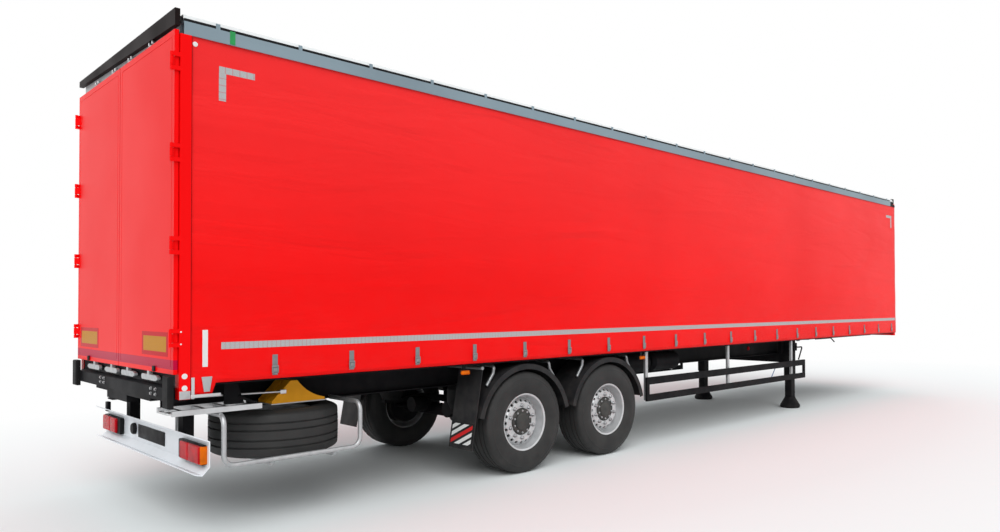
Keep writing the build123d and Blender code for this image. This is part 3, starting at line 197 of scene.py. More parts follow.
def mixed(tree, factor, first, second, blend="MIX"):
    """Colour between two."""
    made = put(tree, "ShaderNodeMix", data_type="RGBA", blend_type=blend)
    feed(tree, made, 0, factor)
    feed(tree, made, 6, first)
    feed(tree, made, 7, second)
    return made.outputs[2]


def spread(tree, value, low, high, to_low, to_high):
    made = put(tree, "ShaderNodeMapRange", clamp=True)
    for place, number in enumerate((value, low, high, to_low, to_high)):
        feed(tree, made, place, number)
    return made.outputs[0]


def whole(colour):
    return (*colour, 1.0)


def object_place(tree):
    return put(tree, "ShaderNodeTexCoord").outputs["Object"]


def place_part(tree, axis):
    """One coordinate of a place on the object."""
    split = put(tree, "ShaderNodeSeparateXYZ")
    feed(tree, split, 0, object_place(tree))
    return split.outputs[axis]


def clouds(tree, scale, detail):
    """Soft noise over the object."""
    made = put(tree, "ShaderNodeTexNoise")
    made.inputs["Detail"].default_value = detail
    feed(tree, made, "Vector", object_place(tree))
    feed(tree, made, "Scale", scale)
    return made.outputs["Fac"]


def cell_edges(tree, scale):
    """Distance to the nearest border of small cells."""
    made = put(tree, "ShaderNodeTexVoronoi", feature="DISTANCE_TO_EDGE")
    made.inputs["Scale"].default_value = scale
    feed(tree, made, "Vector", object_place(tree))
    return made.outputs["Distance"]


def background_ray(tree):
    """One for the rays that see the white background."""
    ray = put(tree, "ShaderNodeLightPath")
    seen = maths(tree, "MAXIMUM", ray.outputs["Is Camera Ray"], ray.outputs["Is Glossy Ray"])
    return maths(tree, "MAXIMUM", seen, ray.outputs["Is Transmission Ray"])


def blend_surfaces(tree, share, first, second, output):
    """Mixes two shaders into the tree's surface."""
    blend = put(tree, "ShaderNodeMixShader")
    feed(tree, blend, 0, share)
    tree.links.new(first.outputs[0], blend.inputs[1])
    tree.links.new(second.outputs[0], blend.inputs[2])
    tree.links.new(blend.outputs[0], tree.nodes[output].inputs["Surface"])


# Shader groups

MIDDLE_GREY = (0.5, 0.5, 0.5, 1)
DUST_COLOUR = (0.24, 0.21, 0.18, 1)


def group_shell(name, inputs, outputs):
    """Empty shader group with named sockets."""
    group = bpy.data.node_groups.new(name, "ShaderNodeTree")
    for label, kind, default in inputs:
        socket = group.interface.new_socket(label, in_out="INPUT", socket_type=kind)
        socket.default_value = default
    for label, kind in outputs:
        group.interface.new_socket(label, in_out="OUTPUT", socket_type=kind)
    return group, put(group, "NodeGroupInput"), put(group, "NodeGroupOutput")


def drift_group():
    """Slow drift of tone over a coat."""
    group, given, out = group_shell(
        "tone_drift",
        [
            ("Colour", "NodeSocketColor", MIDDLE_GREY),
            ("Scale", "NodeSocketFloat", 2.0),
            ("Amount", "NodeSocketFloat", 0.15),
        ],
        [("Colour", "NodeSocketColor"), ("Mask", "NodeSocketFloat")],
    )
    mask = spread(group, clouds(group, given.outputs["Scale"], 5), 0.3, 0.7, 0.0, 1.0)
    shade = maths(group, "SUBTRACT", 1.0, maths(group, "MULTIPLY", mask, given.outputs["Amount"]))
    feed(group, out, "Colour", mixed(group, 1.0, given.outputs["Colour"], shade, "MULTIPLY"))
    feed(group, out, "Mask", mask)


def dust_group():
    """Road dust that thins out upward."""
    group, given, out = group_shell(
        "road_dust",
        [
            ("Colour", "NodeSocketColor", MIDDLE_GREY),
            ("Dust", "NodeSocketColor", DUST_COLOUR),
            ("Amount", "NodeSocketFloat", 0.3),
            ("Top", "NodeSocketFloat", 1.2),
        ],
        [("Colour", "NodeSocketColor"), ("Mask", "NodeSocketFloat")],
    )
    low = spread(group, place_part(group, "Z"), 0.0, given.outputs["Top"], 1.0, 0.15)
    patch = spread(group, clouds(group, 9.0, 8), 0.35, 0.75, 0.0, 1.0)
    mask = maths(group, "MULTIPLY", maths(group, "MULTIPLY", low, patch), given.outputs["Amount"])
    feed(group, out, "Colour", mixed(group, mask, given.outputs["Colour"], given.outputs["Dust"]))
    feed(group, out, "Mask", mask)


def grain_group():
    """Fine uneven height for bump."""
    group, given, out = group_shell(
        "fine_grain",
        [("Scale", "NodeSocketFloat", 200.0), ("Coarse", "NodeSocketFloat", 12.0)],
        [("Height", "NodeSocketFloat")],
    )
    fine = clouds(group, given.outputs["Scale"], 4)
    coarse = clouds(group, given.outputs["Coarse"], 2)
    feed(group, out, "Height", maths(group, "ADD", fine, maths(group, "MULTIPLY", coarse, 0.6)))


def weave_group():
    """Crossed threads of coated cloth."""
    group, given, out = group_shell(
        "cloth_threads", [("Scale", "NodeSocketFloat", 220.0)], [("Height", "NodeSocketFloat")]
    )
    heights = []
    for direction in ("X", "Z"):
        wave = put(group, "ShaderNodeTexWave", bands_direction=direction)
        feed(group, wave, "Vector", object_place(group))
        feed(group, wave, "Scale", given.outputs["Scale"])
        wave.inputs["Distortion"].default_value = 0.6
        heights.append(wave.outputs["Fac"])
    feed(group, out, "Height", maths(group, "MAXIMUM", *heights))


def use_group(tree, name, **values):
    """One of the shared groups, placed with its own values."""
    made = put(tree, "ShaderNodeGroup", node_tree=bpy.data.node_groups[name])
    for label, value in values.items():
        feed(tree, made, label, value)
    return made


# Finishes


def blank_material(name, **plain):
    """Material with a shader whose plain sockets are set, such as Metallic=1.0."""
    material = bpy.data.materials.new(name)
    material.use_nodes = True
    shader = material.node_tree.nodes["Principled BSDF"]
    for label, value in plain.items():
        shader.inputs[label.replace("_", " ")].default_value = value
    return material, material.node_tree, shader


def bump(tree, shader, height, strength, distance):
    made = put(tree, "ShaderNodeBump")
    made.inputs["Strength"].default_value = strength
    made.inputs["Distance"].default_value = distance
    feed(tree, made, "Height", height)
    feed(tree, shader, "Normal", made.outputs["Normal"])


def coat(name, colour, roughness, metallic=0.0, gloss=0.0, drift=0.15, drift_scale=2.5, dust=0.0,
         dust_top=1.3, grain=0.15, grain_scale=180.0, shine=0.5, band=None):
    """Paint, metal, rubber or plastic with drifting tone, road dust, a fine grain and, where a band is
    given, a painted reflection between two heights.
    """
    material, tree, shader = blank_material(
        name, Metallic=metallic, Specular_IOR_Level=shine, Coat_Weight=gloss, Coat_Roughness=0.06
    )
    tone = use_group(tree, "tone_drift", Colour=whole(colour), Scale=drift_scale, Amount=drift)
    base = tone.outputs["Colour"]
    rough = spread(tree, tone.outputs["Mask"], 0.0, 1.0, roughness * 0.85, min(1.0, roughness * 1.15))
    if dust:
        soil = use_group(tree, "road_dust", Colour=base, Amount=dust, Top=dust_top)
        base = soil.outputs["Colour"]
        rough = maths(tree, "ADD", rough, maths(tree, "MULTIPLY", soil.outputs["Mask"], 0.3))
    # Painted reflection: a darker tint between two heights, where a band is given.
    if band:
        low, high, tint = band
        height = place_part(tree, "Z")
        above, below = maths(tree, "GREATER_THAN", height, low), maths(tree, "LESS_THAN", height, high)
        base = mixed(tree, maths(tree, "MULTIPLY", above, below), base, whole(tint))
    feed(tree, shader, "Base Color", base)
    feed(tree, shader, "Roughness", rough)
    if grain:
        bump(tree, shader, use_group(tree, "fine_grain", Scale=grain_scale).outputs["Height"], grain, 0.002)
    return material


def curtain_cloth(name, colour):
    """Coated cloth with threads and faint creases, and painted sheen that pales it a little towards the top.
    """
    # Painted sheen: above a height the base colour is mixed a little with pale pink, more towards the top.
    painted_sheen_from, painted_sheen_to, painted_sheen = 1.9, 3.75, 0.04
    painted_sheen_colour = (1.0, 0.62, 0.64, 1)
    material, tree, shader = blank_material(name, Specular_IOR_Level=0.12)
    tone = use_group(tree, "tone_drift", Colour=whole(colour), Scale=0.6, Amount=0.10)
    soil = use_group(tree, "road_dust", Colour=tone.outputs["Colour"], Amount=0.05, Top=2.0)
    # Painted sheen mixed into the base colour by height.
    share = spread(tree, place_part(tree, "Z"), painted_sheen_from, painted_sheen_to, 0.0, painted_sheen)
    feed(tree, shader, "Base Color", mixed(tree, share, soil.outputs["Colour"], painted_sheen_colour))
    feed(tree, shader, "Roughness", spread(tree, tone.outputs["Mask"], 0.0, 1.0, 0.34, 0.46))
    threads = use_group(tree, "cloth_threads", Scale=160.0)
    stretch = put(tree, "ShaderNodeVectorMath", operation="MULTIPLY")
    stretch.inputs[1].default_value = (0.22, 1.0, 1.5)
    feed(tree, stretch, 0, object_place(tree))
    waves = put(tree, "ShaderNodeTexNoise")
    for label, value in (("Scale", 2.6), ("Detail", 3), ("Distortion", 0.8)):
        waves.inputs[label].default_value = value
    feed(tree, waves, "Vector", stretch.outputs[0])
    fine = maths(tree, "MULTIPLY", threads.outputs["Height"], 0.01)
    bump(tree, shader, maths(tree, "ADD", fine, waves.outputs["Fac"]), 0.6, 0.05)
    return material


def roof_cloth(name):
    """White coated roof cloth."""
    material, tree, shader = blank_material(name)
    tone = use_group(tree, "tone_drift", Colour=(0.82, 0.84, 0.84, 1), Scale=1.2, Amount=0.08)
    feed(tree, shader, "Base Color", tone.outputs["Colour"])
    feed(tree, shader, "Roughness", spread(tree, tone.outputs["Mask"], 0.0, 1.0, 0.45, 0.6))
    bump(tree, shader, use_group(tree, "cloth_threads", Scale=160.0).outputs["Height"], 0.1, 0.001)
    return material


def tape_material(name, axis, pitch, gap):
    """Grey reflective tape in short segments along one axis."""
    pale, dark, between = (0.46, 0.46, 0.46, 1), (0.36, 0.36, 0.36, 1), (0.46, 0.26, 0.27, 1)
    material, tree, shader = blank_material(name, Specular_IOR_Level=0.2, Roughness=0.35)
    part = maths(tree, "FRACT", maths(tree, "DIVIDE", place_part(tree, axis), pitch))
    joint = maths(tree, "LESS_THAN", part, gap)
    web = maths(tree, "LESS_THAN", cell_edges(tree, 260.0), 0.06)
    feed(tree, shader, "Base Color", mixed(tree, joint, mixed(tree, web, pale, dark), between))
    bump(tree, shader, maths(tree, "SUBTRACT", 1.0, web), 0.2, 0.0004)
    return material


def striped_material(name, middle, half, pitch):
    """Black plate across the trailer with slanting stripes: white, red, white."""
    black, white, red = (0.010, 0.010, 0.011, 1), (0.80, 0.80, 0.79, 1), (0.66, 0.010, 0.012, 1)
    slope, start, stripe_share = 0.5, 0.3, 0.6
    material, tree, shader = blank_material(name, Roughness=0.4, Specular_IOR_Level=0.15)
    across = maths(tree, "SUBTRACT", place_part(tree, "Y"), middle[0])
    up = maths(tree, "SUBTRACT", place_part(tree, "Z"), middle[1])
    slant = maths(tree, "ADD", maths(tree, "MULTIPLY", across, slope), up)
    step = maths(tree, "ADD", maths(tree, "DIVIDE", slant, pitch), start)
    stripe = maths(tree, "LESS_THAN", maths(tree, "FRACT", step), stripe_share)
    for offset, reach in ((across, half[0]), (up, half[1])):
        inside = maths(tree, "LESS_THAN", maths(tree, "ABSOLUTE", offset), reach)
        stripe = maths(tree, "MULTIPLY", stripe, inside)
    central = maths(tree, "LESS_THAN", maths(tree, "ABSOLUTE", maths(tree, "FLOOR", step)), 0.5)
    face = mixed(tree, stripe, black, mixed(tree, central, white, red))
    soil = use_group(tree, "road_dust", Colour=face, Amount=0.08, Top=0.9)
    feed(tree, shader, "Base Color", soil.outputs["Colour"])
    bump(tree, shader, use_group(tree, "fine_grain", Scale=400.0).outputs["Height"], 0.1, 0.0005)
    return material


def plate_material(name, colour):
    """Reflective plate with a fine cell pattern."""
    material, tree, shader = blank_material(name, Roughness=0.3, Specular_IOR_Level=0.05)
    web = spread(tree, cell_edges(tree, 130.0), 0.0, 0.12, 0.0, 1.0)
    darker = tuple(0.8 * part for part in colour)
    feed(tree, shader, "Base Color", mixed(tree, web, whole(darker), whole(colour)))
    bump(tree, shader, web, 0.15, 0.0005)
    return material


def lens_material(name, colour):
    """Ribbed coloured lens."""
    material, tree, shader = blank_material(name, Roughness=0.12, Specular_IOR_Level=0.08)
    ribs = put(tree, "ShaderNodeTexWave", bands_direction="Y")
    ribs.inputs["Scale"].default_value = 38.0
    feed(tree, ribs, "Vector", object_place(tree))
    tone = use_group(tree, "tone_drift", Colour=whole(colour), Scale=14.0, Amount=0.35)
    feed(tree, shader, "Base Color", tone.outputs["Colour"])
    bump(tree, shader, ribs.outputs["Fac"], 0.4, 0.0015)
    return material


# Coats by name. A colour given as a word is the user's setting of that name
DOOR_GLOSS = dict(
    colour="door", roughness=0.34, drift=0.06, drift_scale=0.7, grain=0.02, grain_scale=60.0, shine=0.08
)
COATS = {
    "door_paint": DOOR_GLOSS,
    # The doors' band is a painted reflection: darker crimson across the foot of the panels.
    "door_face": dict(DOOR_GLOSS, band=(1.284, 1.352, (0.50, 0.003, 0.045))),
    "seam_red": dict(colour=(0.10, 0.004, 0.005), roughness=0.6, drift=0.1, grain=0.1, shine=0.1),
    "chassis_paint": dict(colour="chassis", roughness=0.5, drift=0.3, dust=0.08, grain=0.12, shine=0.04),
    "beam_paint": dict(colour=(0.014, 0.009, 0.009), roughness=0.45, drift=0.3, grain=0.1, shine=0.04),
    "underrun_paint": dict(colour="underrun", roughness=0.34, gloss=0.3, drift=0.10, dust=0.12, grain=0.05),
    "header_paint": dict(colour=(0.42, 0.43, 0.44), roughness=0.4, drift=0.15, grain=0.08),
    "roof_rail": dict(
        colour="roof_rail", roughness=0.38, metallic=0.55, drift=0.18, drift_scale=0.9, grain=0.08
    ),
    "galvanised": dict(
        colour=(0.52, 0.53, 0.54), roughness=0.46, metallic=0.7, drift=0.16, drift_scale=26.0, dust=0.10,
        grain=0.06,
    ),
    "bare_steel": dict(colour=(0.42, 0.42, 0.43), roughness=0.3, metallic=1.0, drift=0.2, drift_scale=12.0),
    "ladder_alloy": dict(
        colour=(0.62, 0.63, 0.64), roughness=0.33, metallic=0.9, drift=0.15, drift_scale=8.0
    ),
    "wheel_paint": dict(
        colour="wheel", roughness=0.34, metallic=0.55, gloss=0.2, drift=0.16, drift_scale=9.0, dust=0.10,
        dust_top=1.6, grain=0.06,
    ),
    "hub_paint": dict(
        colour=(0.016, 0.018, 0.017), roughness=0.45, drift=0.3, drift_scale=12.0, dust=0.3, grain=0.2
    ),
    "tyre_rubber": dict(
        colour="tyre", roughness=0.6, drift=0.18, drift_scale=4.0, dust=0.05, dust_top=1.6, grain=0.2,
        grain_scale=320.0, shine=0.25,
    ),
    "soft_rubber": dict(
        colour=(0.010, 0.010, 0.011), roughness=0.6, drift=0.3, drift_scale=8.0, dust=0.1, shine=0.12
    ),
    "guard_plastic": dict(
        colour=(0.016, 0.016, 0.018), roughness=0.55, drift=0.25, drift_scale=5.0, dust=0.2, grain=0.35,
        grain_scale=260.0, shine=0.2,
    ),
    "floor_boards": dict(colour=(0.10, 0.055, 0.028), roughness=0.6, drift=0.5, drift_scale=3.0, grain=0.3),
    "chock_plastic": dict(
        colour="chock", roughness=0.5, drift=0.1, drift_scale=10.0, dust=0.04, grain=0.2, shine=0.2
    ),
    "strap_grey": dict(
        colour=(0.22, 0.22, 0.23), roughness=0.6, drift=0.2, drift_scale=30.0, dust=0.15, grain=0.4,
        grain_scale=700.0,
    ),
    "buckle_steel": dict(
        colour=(0.32, 0.33, 0.34), roughness=0.4, metallic=0.7, drift=0.25, drift_scale=30.0
    ),
    "white_trim": dict(colour=(0.78, 0.78, 0.77), roughness=0.4, drift=0.08, drift_scale=12.0, grain=0.05),
    "black_trim": dict(
        colour=(0.010, 0.010, 0.011), roughness=0.5, drift=0.2, drift_scale=10.0, grain=0.15, shine=0.12
    ),
    "green_strap": dict(colour=(0.01, 0.30, 0.07), roughness=0.6, drift=0.2, drift_scale=20.0, grain=0.4),
    "blue_line": dict(colour=(0.04, 0.16, 0.36), roughness=0.5, drift=0.2, drift_scale=20.0, grain=0.2),
}
# Other finishes by name, each with its maker and what the maker needs
PATTERNS = {
    "roof_cloth": (roof_cloth,),
    "tape_along": (tape_material, "X", 0.036, 0.12),
    "mark_along": (tape_material, "X", 0.0545, 0.13),
    "mark_up": (tape_material, "Z", 0.052, 0.13),
    "warning_stripes": (striped_material, (-1.058, 0.467), (0.155, 0.098), 0.067),
    "plate_ochre": (plate_material, (0.56, 0.24, 0.004)),
    "plate_red": (plate_material, (0.60, 0.002, 0.012)),
    "lens_red": (lens_material, (0.62, 0.006, 0.014)),
    "lens_amber": (lens_material, (0.84, 0.17, 0.004)),
}
MATERIALS = {}


def make_materials():
    """All finishes, by name."""
    for build in (drift_group, dust_group, grain_group, weave_group):
        build()
    for name, settings in COATS.items():
        colour = settings["colour"]
        if isinstance(colour, str):
            colour = getattr(colours(), colour)
        MATERIALS[name] = coat(name, **dict(settings, colour=colour))
    MATERIALS["curtain_cloth"] = curtain_cloth("curtain_cloth", colours().curtain)
    for name, (build, *values) in PATTERNS.items():
        MATERIALS[name] = build(name, *values)


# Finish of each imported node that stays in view
NODE_FINISH = {
    "door_paint": ("rear_corner_posts", "front_wall", "front_corner_posts"),
    "door_face": ("door_right_panel", "door_left_panel"),
    "chassis_paint": (
        "main_rails", "cross_members", "outriggers", "coupling_plate", "rear_sill", "landing_legs",
        "landing_cross_beam", "side_guard_rails", "suspension_hangers", "trailing_arms", "axle_beams",
        "brake_chambers", "air_tanks", "front_connections", "floor_side_rails", "underrun_posts",
    ),
    "beam_paint": ("roof_end_beams",),
    "underrun_paint": ("underrun_beam",),
    "header_paint": ("rear_header",),
    "roof_rail": ("roof_side_rails",),
    "galvanised": (
        "roof_bows", "side_pillars", "side_guard_struts", "spare_wheel_basket", "door_right_locks",
        "door_left_locks",
    ),
    "buckle_steel": ("mudguard_stays",),
    "bare_steel": ("kingpin",),
    "ladder_alloy": ("access_ladder",),
    "hub_paint": tuple(name for name in frame["nodes"] if name.startswith("hub_")),
    "soft_rubber": ("dock_buffers", "air_springs"),
    "guard_plastic": ("mudguards",),
    "floor_boards": ("floor_deck",),
    "chock_plastic": ("wheel_chocks",),
}


# Mesh helpers


def piece(name, mesh, finish, body=BODY, smooth=None):
    """Object from a mesh that is already in place, coated and riding on its body."""
    made = bpy.data.objects.new(name, mesh)
    bpy.context.scene.collection.objects.link(made)
    if finish:
        mesh.materials.append(MATERIALS[finish])
    if smooth is not None:
        mesh.shade_smooth()
        mesh.set_sharp_from_angle(angle=math.radians(smooth))
    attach(made, body)
    return made


def mesh_from(name, work):
    """Mesh from a bmesh, with its faces turned outwards."""
    bmesh.ops.recalc_face_normals(work, faces=work.faces)
    mesh = bpy.data.meshes.new(name)
    work.to_mesh(mesh)
    work.free()
    return mesh


def add_block(work, low, high, bevel=0.0, segments=2):
    """Box with rounded edges between two corners."""
    made = bmesh.ops.create_cube(work, size=1.0)
    low, high = Vector(low), Vector(high)
    shape = Matrix.Diagonal((*(high - low), 1.0))
    bmesh.ops.transform(work, matrix=Matrix.Translation((low + high) / 2) @ shape, verts=made["verts"])
    if bevel:
        edges = {edge for vert in made["verts"] for edge in vert.link_edges}
        bmesh.ops.bevel(work, geom=list(edges), offset=bevel, segments=segments, profile=0.5, affect="EDGES")


def spans(along, across, up, side=1):
    """Low and high corner of a box, from the door face along and from the middle out to one side."""
    return (
        (DOOR_FACE + along[0], side * across[0], up[0]),
        (DOOR_FACE + along[1], side * across[1], up[1]),
    )


def block_piece(name, corners, finish, slot, bevel, segments=2, smooth=40, body=BODY):
    """One rounded box as a piece."""
    work = bmesh.new()
    add_block(work, *corners, bevel, segments)
    return piece(name, mesh_from(name, work), finish, body, smooth)


def circle(count):
    """Angles of a full turn in equal steps."""
    return [2 * math.pi * step / count for step in range(count)]


def add_band(work, rings, closed_path=False, closed_ring=True):
    """Faces between rows of points, each row joined to the next."""
    following_rings = rings[1:] + rings[:1] if closed_path else rings[1:]
    for near, far in zip(rings, following_rings):
        for index in range(len(near) if closed_ring else len(near) - 1):
            following = (index + 1) % len(near)
            work.faces.new((near[index], near[following], far[following], far[index]))


def add_turned(work, outline, segments, place, closed=False):
    """Outline in (distance along the axis, radius) turned about the local X axis of a placing matrix."""
    rings = [
        [
            work.verts.new(place @ Vector((along, radius * math.cos(angle), radius * math.sin(angle))))
            for along, radius in outline
        ]
        for angle in circle(segments)
    ]
    add_band(work, rings, closed_path=True, closed_ring=closed)
    bmesh.ops.remove_doubles(work, verts=work.verts, dist=1e-5)


def add_tube(work, points, radius, sides=12):
    """Round bar through the points, with mitred corners and closed ends."""
    points = [Vector(point) for point in points]
    rings = []
    for index, point in enumerate(points):
        before = points[max(index - 1, 0)]
        after = points[min(index + 1, len(points) - 1)]
        along = (after - before).normalized()
        across = along.cross(Vector((0.0, 0.0, 1.0)))
        if across.length < 0.1:
            across = along.cross(Vector((1.0, 0.0, 0.0)))
        across.normalize()
        lift = across.cross(along)
        rings.append([
            work.verts.new(point + radius * (math.cos(turn) * across + math.sin(turn) * lift))
            for turn in circle(sides)
        ])
    add_band(work, rings)
    work.faces.new(rings[0][::-1])
    work.faces.new(rings[-1])


def rounded(points, radius, steps=5):
    """Path with its inner corners rounded."""
    points = [Vector(point) for point in points]
    path = [points[0]]
    for before, corner, after in zip(points, points[1:], points[2:]):
        start = corner + (before - corner).normalized() * radius
        end = corner + (after - corner).normalized() * radius
        for step in range(steps + 1):
            share = step / steps
            path.append((1 - share) ** 2 * start + 2 * share * (1 - share) * corner + share ** 2 * end)
    path.append(points[-1])
    return path


def tube_piece(name, points, radius, finish):
    """One round bar as a piece."""
    work = bmesh.new()
    add_tube(work, points, radius)
    return piece(name, mesh_from(name, work), finish, BODY, 40)


def turned_piece(name, outline, segments, place, finish, body=BODY, smooth=35):
    """One turned shape as a piece."""
    work = bmesh.new()
    add_turned(work, outline, segments, place)
    return piece(name, mesh_from(name, work), finish, body, smooth)


def evaluated_mesh(made):
    """Plain mesh of an object with its modifiers applied."""
    bpy.context.view_layer.update()
    return bpy.data.meshes.new_from_object(made.evaluated_get(bpy.context.evaluated_depsgraph_get()))


def thicken(sheet, skin):
    """Gives a sheet its thickness, half to each side."""
    thick = sheet.modifiers.new("thickness", "SOLIDIFY")
    thick.thickness = skin
    thick.offset = 0.0


def repeat(name, template, finish, pattern, body=BODY, smooth=35):
    """Copies of a template mesh on the points of a node pattern, as one plain mesh.

    pattern is ("row", count, start, step), or ("ring", count, radius, placing matrix).
    """
    kind, count, first, second = pattern
    row = kind == "row"
    holder = bpy.data.objects.new(name + "_template", template)
    tree = bpy.data.node_groups.new(name + "_pattern", "GeometryNodeTree")
    tree.interface.new_socket("Geometry", in_out="OUTPUT", socket_type="NodeSocketGeometry")
    given = put(tree, "NodeGroupInput")
    points = put(tree, "GeometryNodeMeshLine", mode="OFFSET") if row else put(tree, "GeometryNodeMeshCircle")
    if row:
        inputs = (
            ("Count", "NodeSocketInt", "Count", count),
            ("Start", "NodeSocketVector", "Start Location", first),
            ("Step", "NodeSocketVector", "Offset", second),
        )
    else:
        inputs = (
            ("Count", "NodeSocketInt", "Vertices", count),
            ("Radius", "NodeSocketFloat", "Radius", first),
        )
    values = {}
    for label, socket_type, target, value in inputs:
        socket = tree.interface.new_socket(label, in_out="INPUT", socket_type=socket_type)
        tree.links.new(given.outputs[label], points.inputs[target])
        values[socket.identifier] = value
    source = put(tree, "GeometryNodeObjectInfo")
    source.inputs["Object"].default_value = holder
    copies = put(tree, "GeometryNodeInstanceOnPoints")
    real = put(tree, "GeometryNodeRealizeInstances")
    finished = put(tree, "GeometryNodeSetMaterial")
    finished.inputs["Material"].default_value = MATERIALS[finish]
    out = put(tree, "NodeGroupOutput")
    tree.links.new(points.outputs["Mesh"], copies.inputs["Points"])
    tree.links.new(source.outputs["Geometry"], copies.inputs["Instance"])
    tree.links.new(copies.outputs["Instances"], real.inputs["Geometry"])
    tree.links.new(real.outputs["Geometry"], finished.inputs["Geometry"])
    tree.links.new(finished.outputs["Geometry"], out.inputs["Geometry"])
    carrier = bpy.data.objects.new(name + "_carrier", bpy.data.meshes.new(name + "_carrier"))
    bpy.context.scene.collection.objects.link(carrier)
    modifier = carrier.modifiers.new("pattern", "NODES")
    modifier.node_group = tree
    for identifier, value in values.items():
        modifier[identifier] = value
    mesh = evaluated_mesh(carrier)
    mesh.name = name
    if not row:
        mesh.transform(second)
    bpy.data.objects.remove(carrier)
    bpy.data.objects.remove(holder)
    return piece(name, mesh, None, body, smooth)


# Cloth


def crease(x, z):
    """How far the curtain stands out at a place along and up its face.

    The hem is pulled in at the straps, slow drift and lines run along the cloth, and slanting and tight
    folds fade away from the rear post.
    """
    hem_reach, slant_reach, tension_reach = 0.16, 0.9, 0.35
    along = x - DOOR_FACE
    up = z - CURTAIN_FOOT
    depth = sizes().ripple
    tie = math.cos(2 * math.pi * (x - STRAP_START) / STRAP_PITCH)
    hem = -0.6 * depth * tie * math.exp(-max(up, 0.0) / hem_reach)
    drift = depth * noise.noise((along * 0.42, up * 1.5, 3.1))
    lines = 0.45 * depth * math.sin(up * 10.5 + 2.2 * noise.noise((along * 0.25, up * 0.4, 8.0)))
    slant = 0.9 * depth * math.exp(-along / slant_reach) * math.sin(17.0 * (up * 0.75 + along * 0.5))
    tension = 0.5 * depth * math.exp(-along / tension_reach) * math.sin(44.0 * up)
    return hem + drift + lines + slant + tension


def steps_between(low, high, count, bias=1.0):
    """Places from low to high, closer together at the start where the bias is over one."""
    return [low + (high - low) * (step / count) ** bias for step in range(count + 1)]


def curtain_sheet(name, side):
    """Curtain as a creased sheet with its rear corner hanging lower."""
    columns, rows, bias = 300, 64, 1.15
    corner_reach = 0.27
    work = bmesh.new()
    grid = []
    for x in steps_between(CURTAIN_LOW.x, CURTAIN_HIGH.x, columns, bias):
        foot = CURTAIN_LOW.z if x - DOOR_FACE < corner_reach else CURTAIN_FOOT
        grid.append([
            work.verts.new((x, side * (CLOTH_MID + crease(x, z)), z))
            for z in steps_between(foot, CURTAIN_HIGH.z, rows)
        ])
    add_band(work, grid, closed_ring=False)
    sheet = piece(name, mesh_from(name, work), "curtain_cloth", smooth=60)
    thicken(sheet, 0.0022)
    return sheet


def strip_on_curtain(name, side, along, up, finish):
    """Thin band that follows the curtain's creases, along from the door face."""
    lift, skin, step = 0.0022, 0.0012, 0.05
    columns, rows = (max(2, round((span[1] - span[0]) / step)) for span in (along, up))
    work = bmesh.new()
    inner, outer = (
        [
            [
                work.verts.new((x, side * (CLOTH_MID + stand + crease(x, z)), z))
                for z in steps_between(*up, rows)
            ]
            for x in steps_between(DOOR_FACE + along[0], DOOR_FACE + along[1], columns)
        ]
        for stand in (lift - skin, lift)
    )
    for layer in (inner, outer):
        add_band(work, layer, closed_ring=False)
    for row in (0, rows):
        edges = [[layer[column][row] for column in range(columns + 1)] for layer in (inner, outer)]
        add_band(work, edges, closed_ring=False)
    for column in (0, columns):
        add_band(work, [inner[column], outer[column]], closed_ring=False)
    return piece(name, mesh_from(name, work), finish, smooth=60)


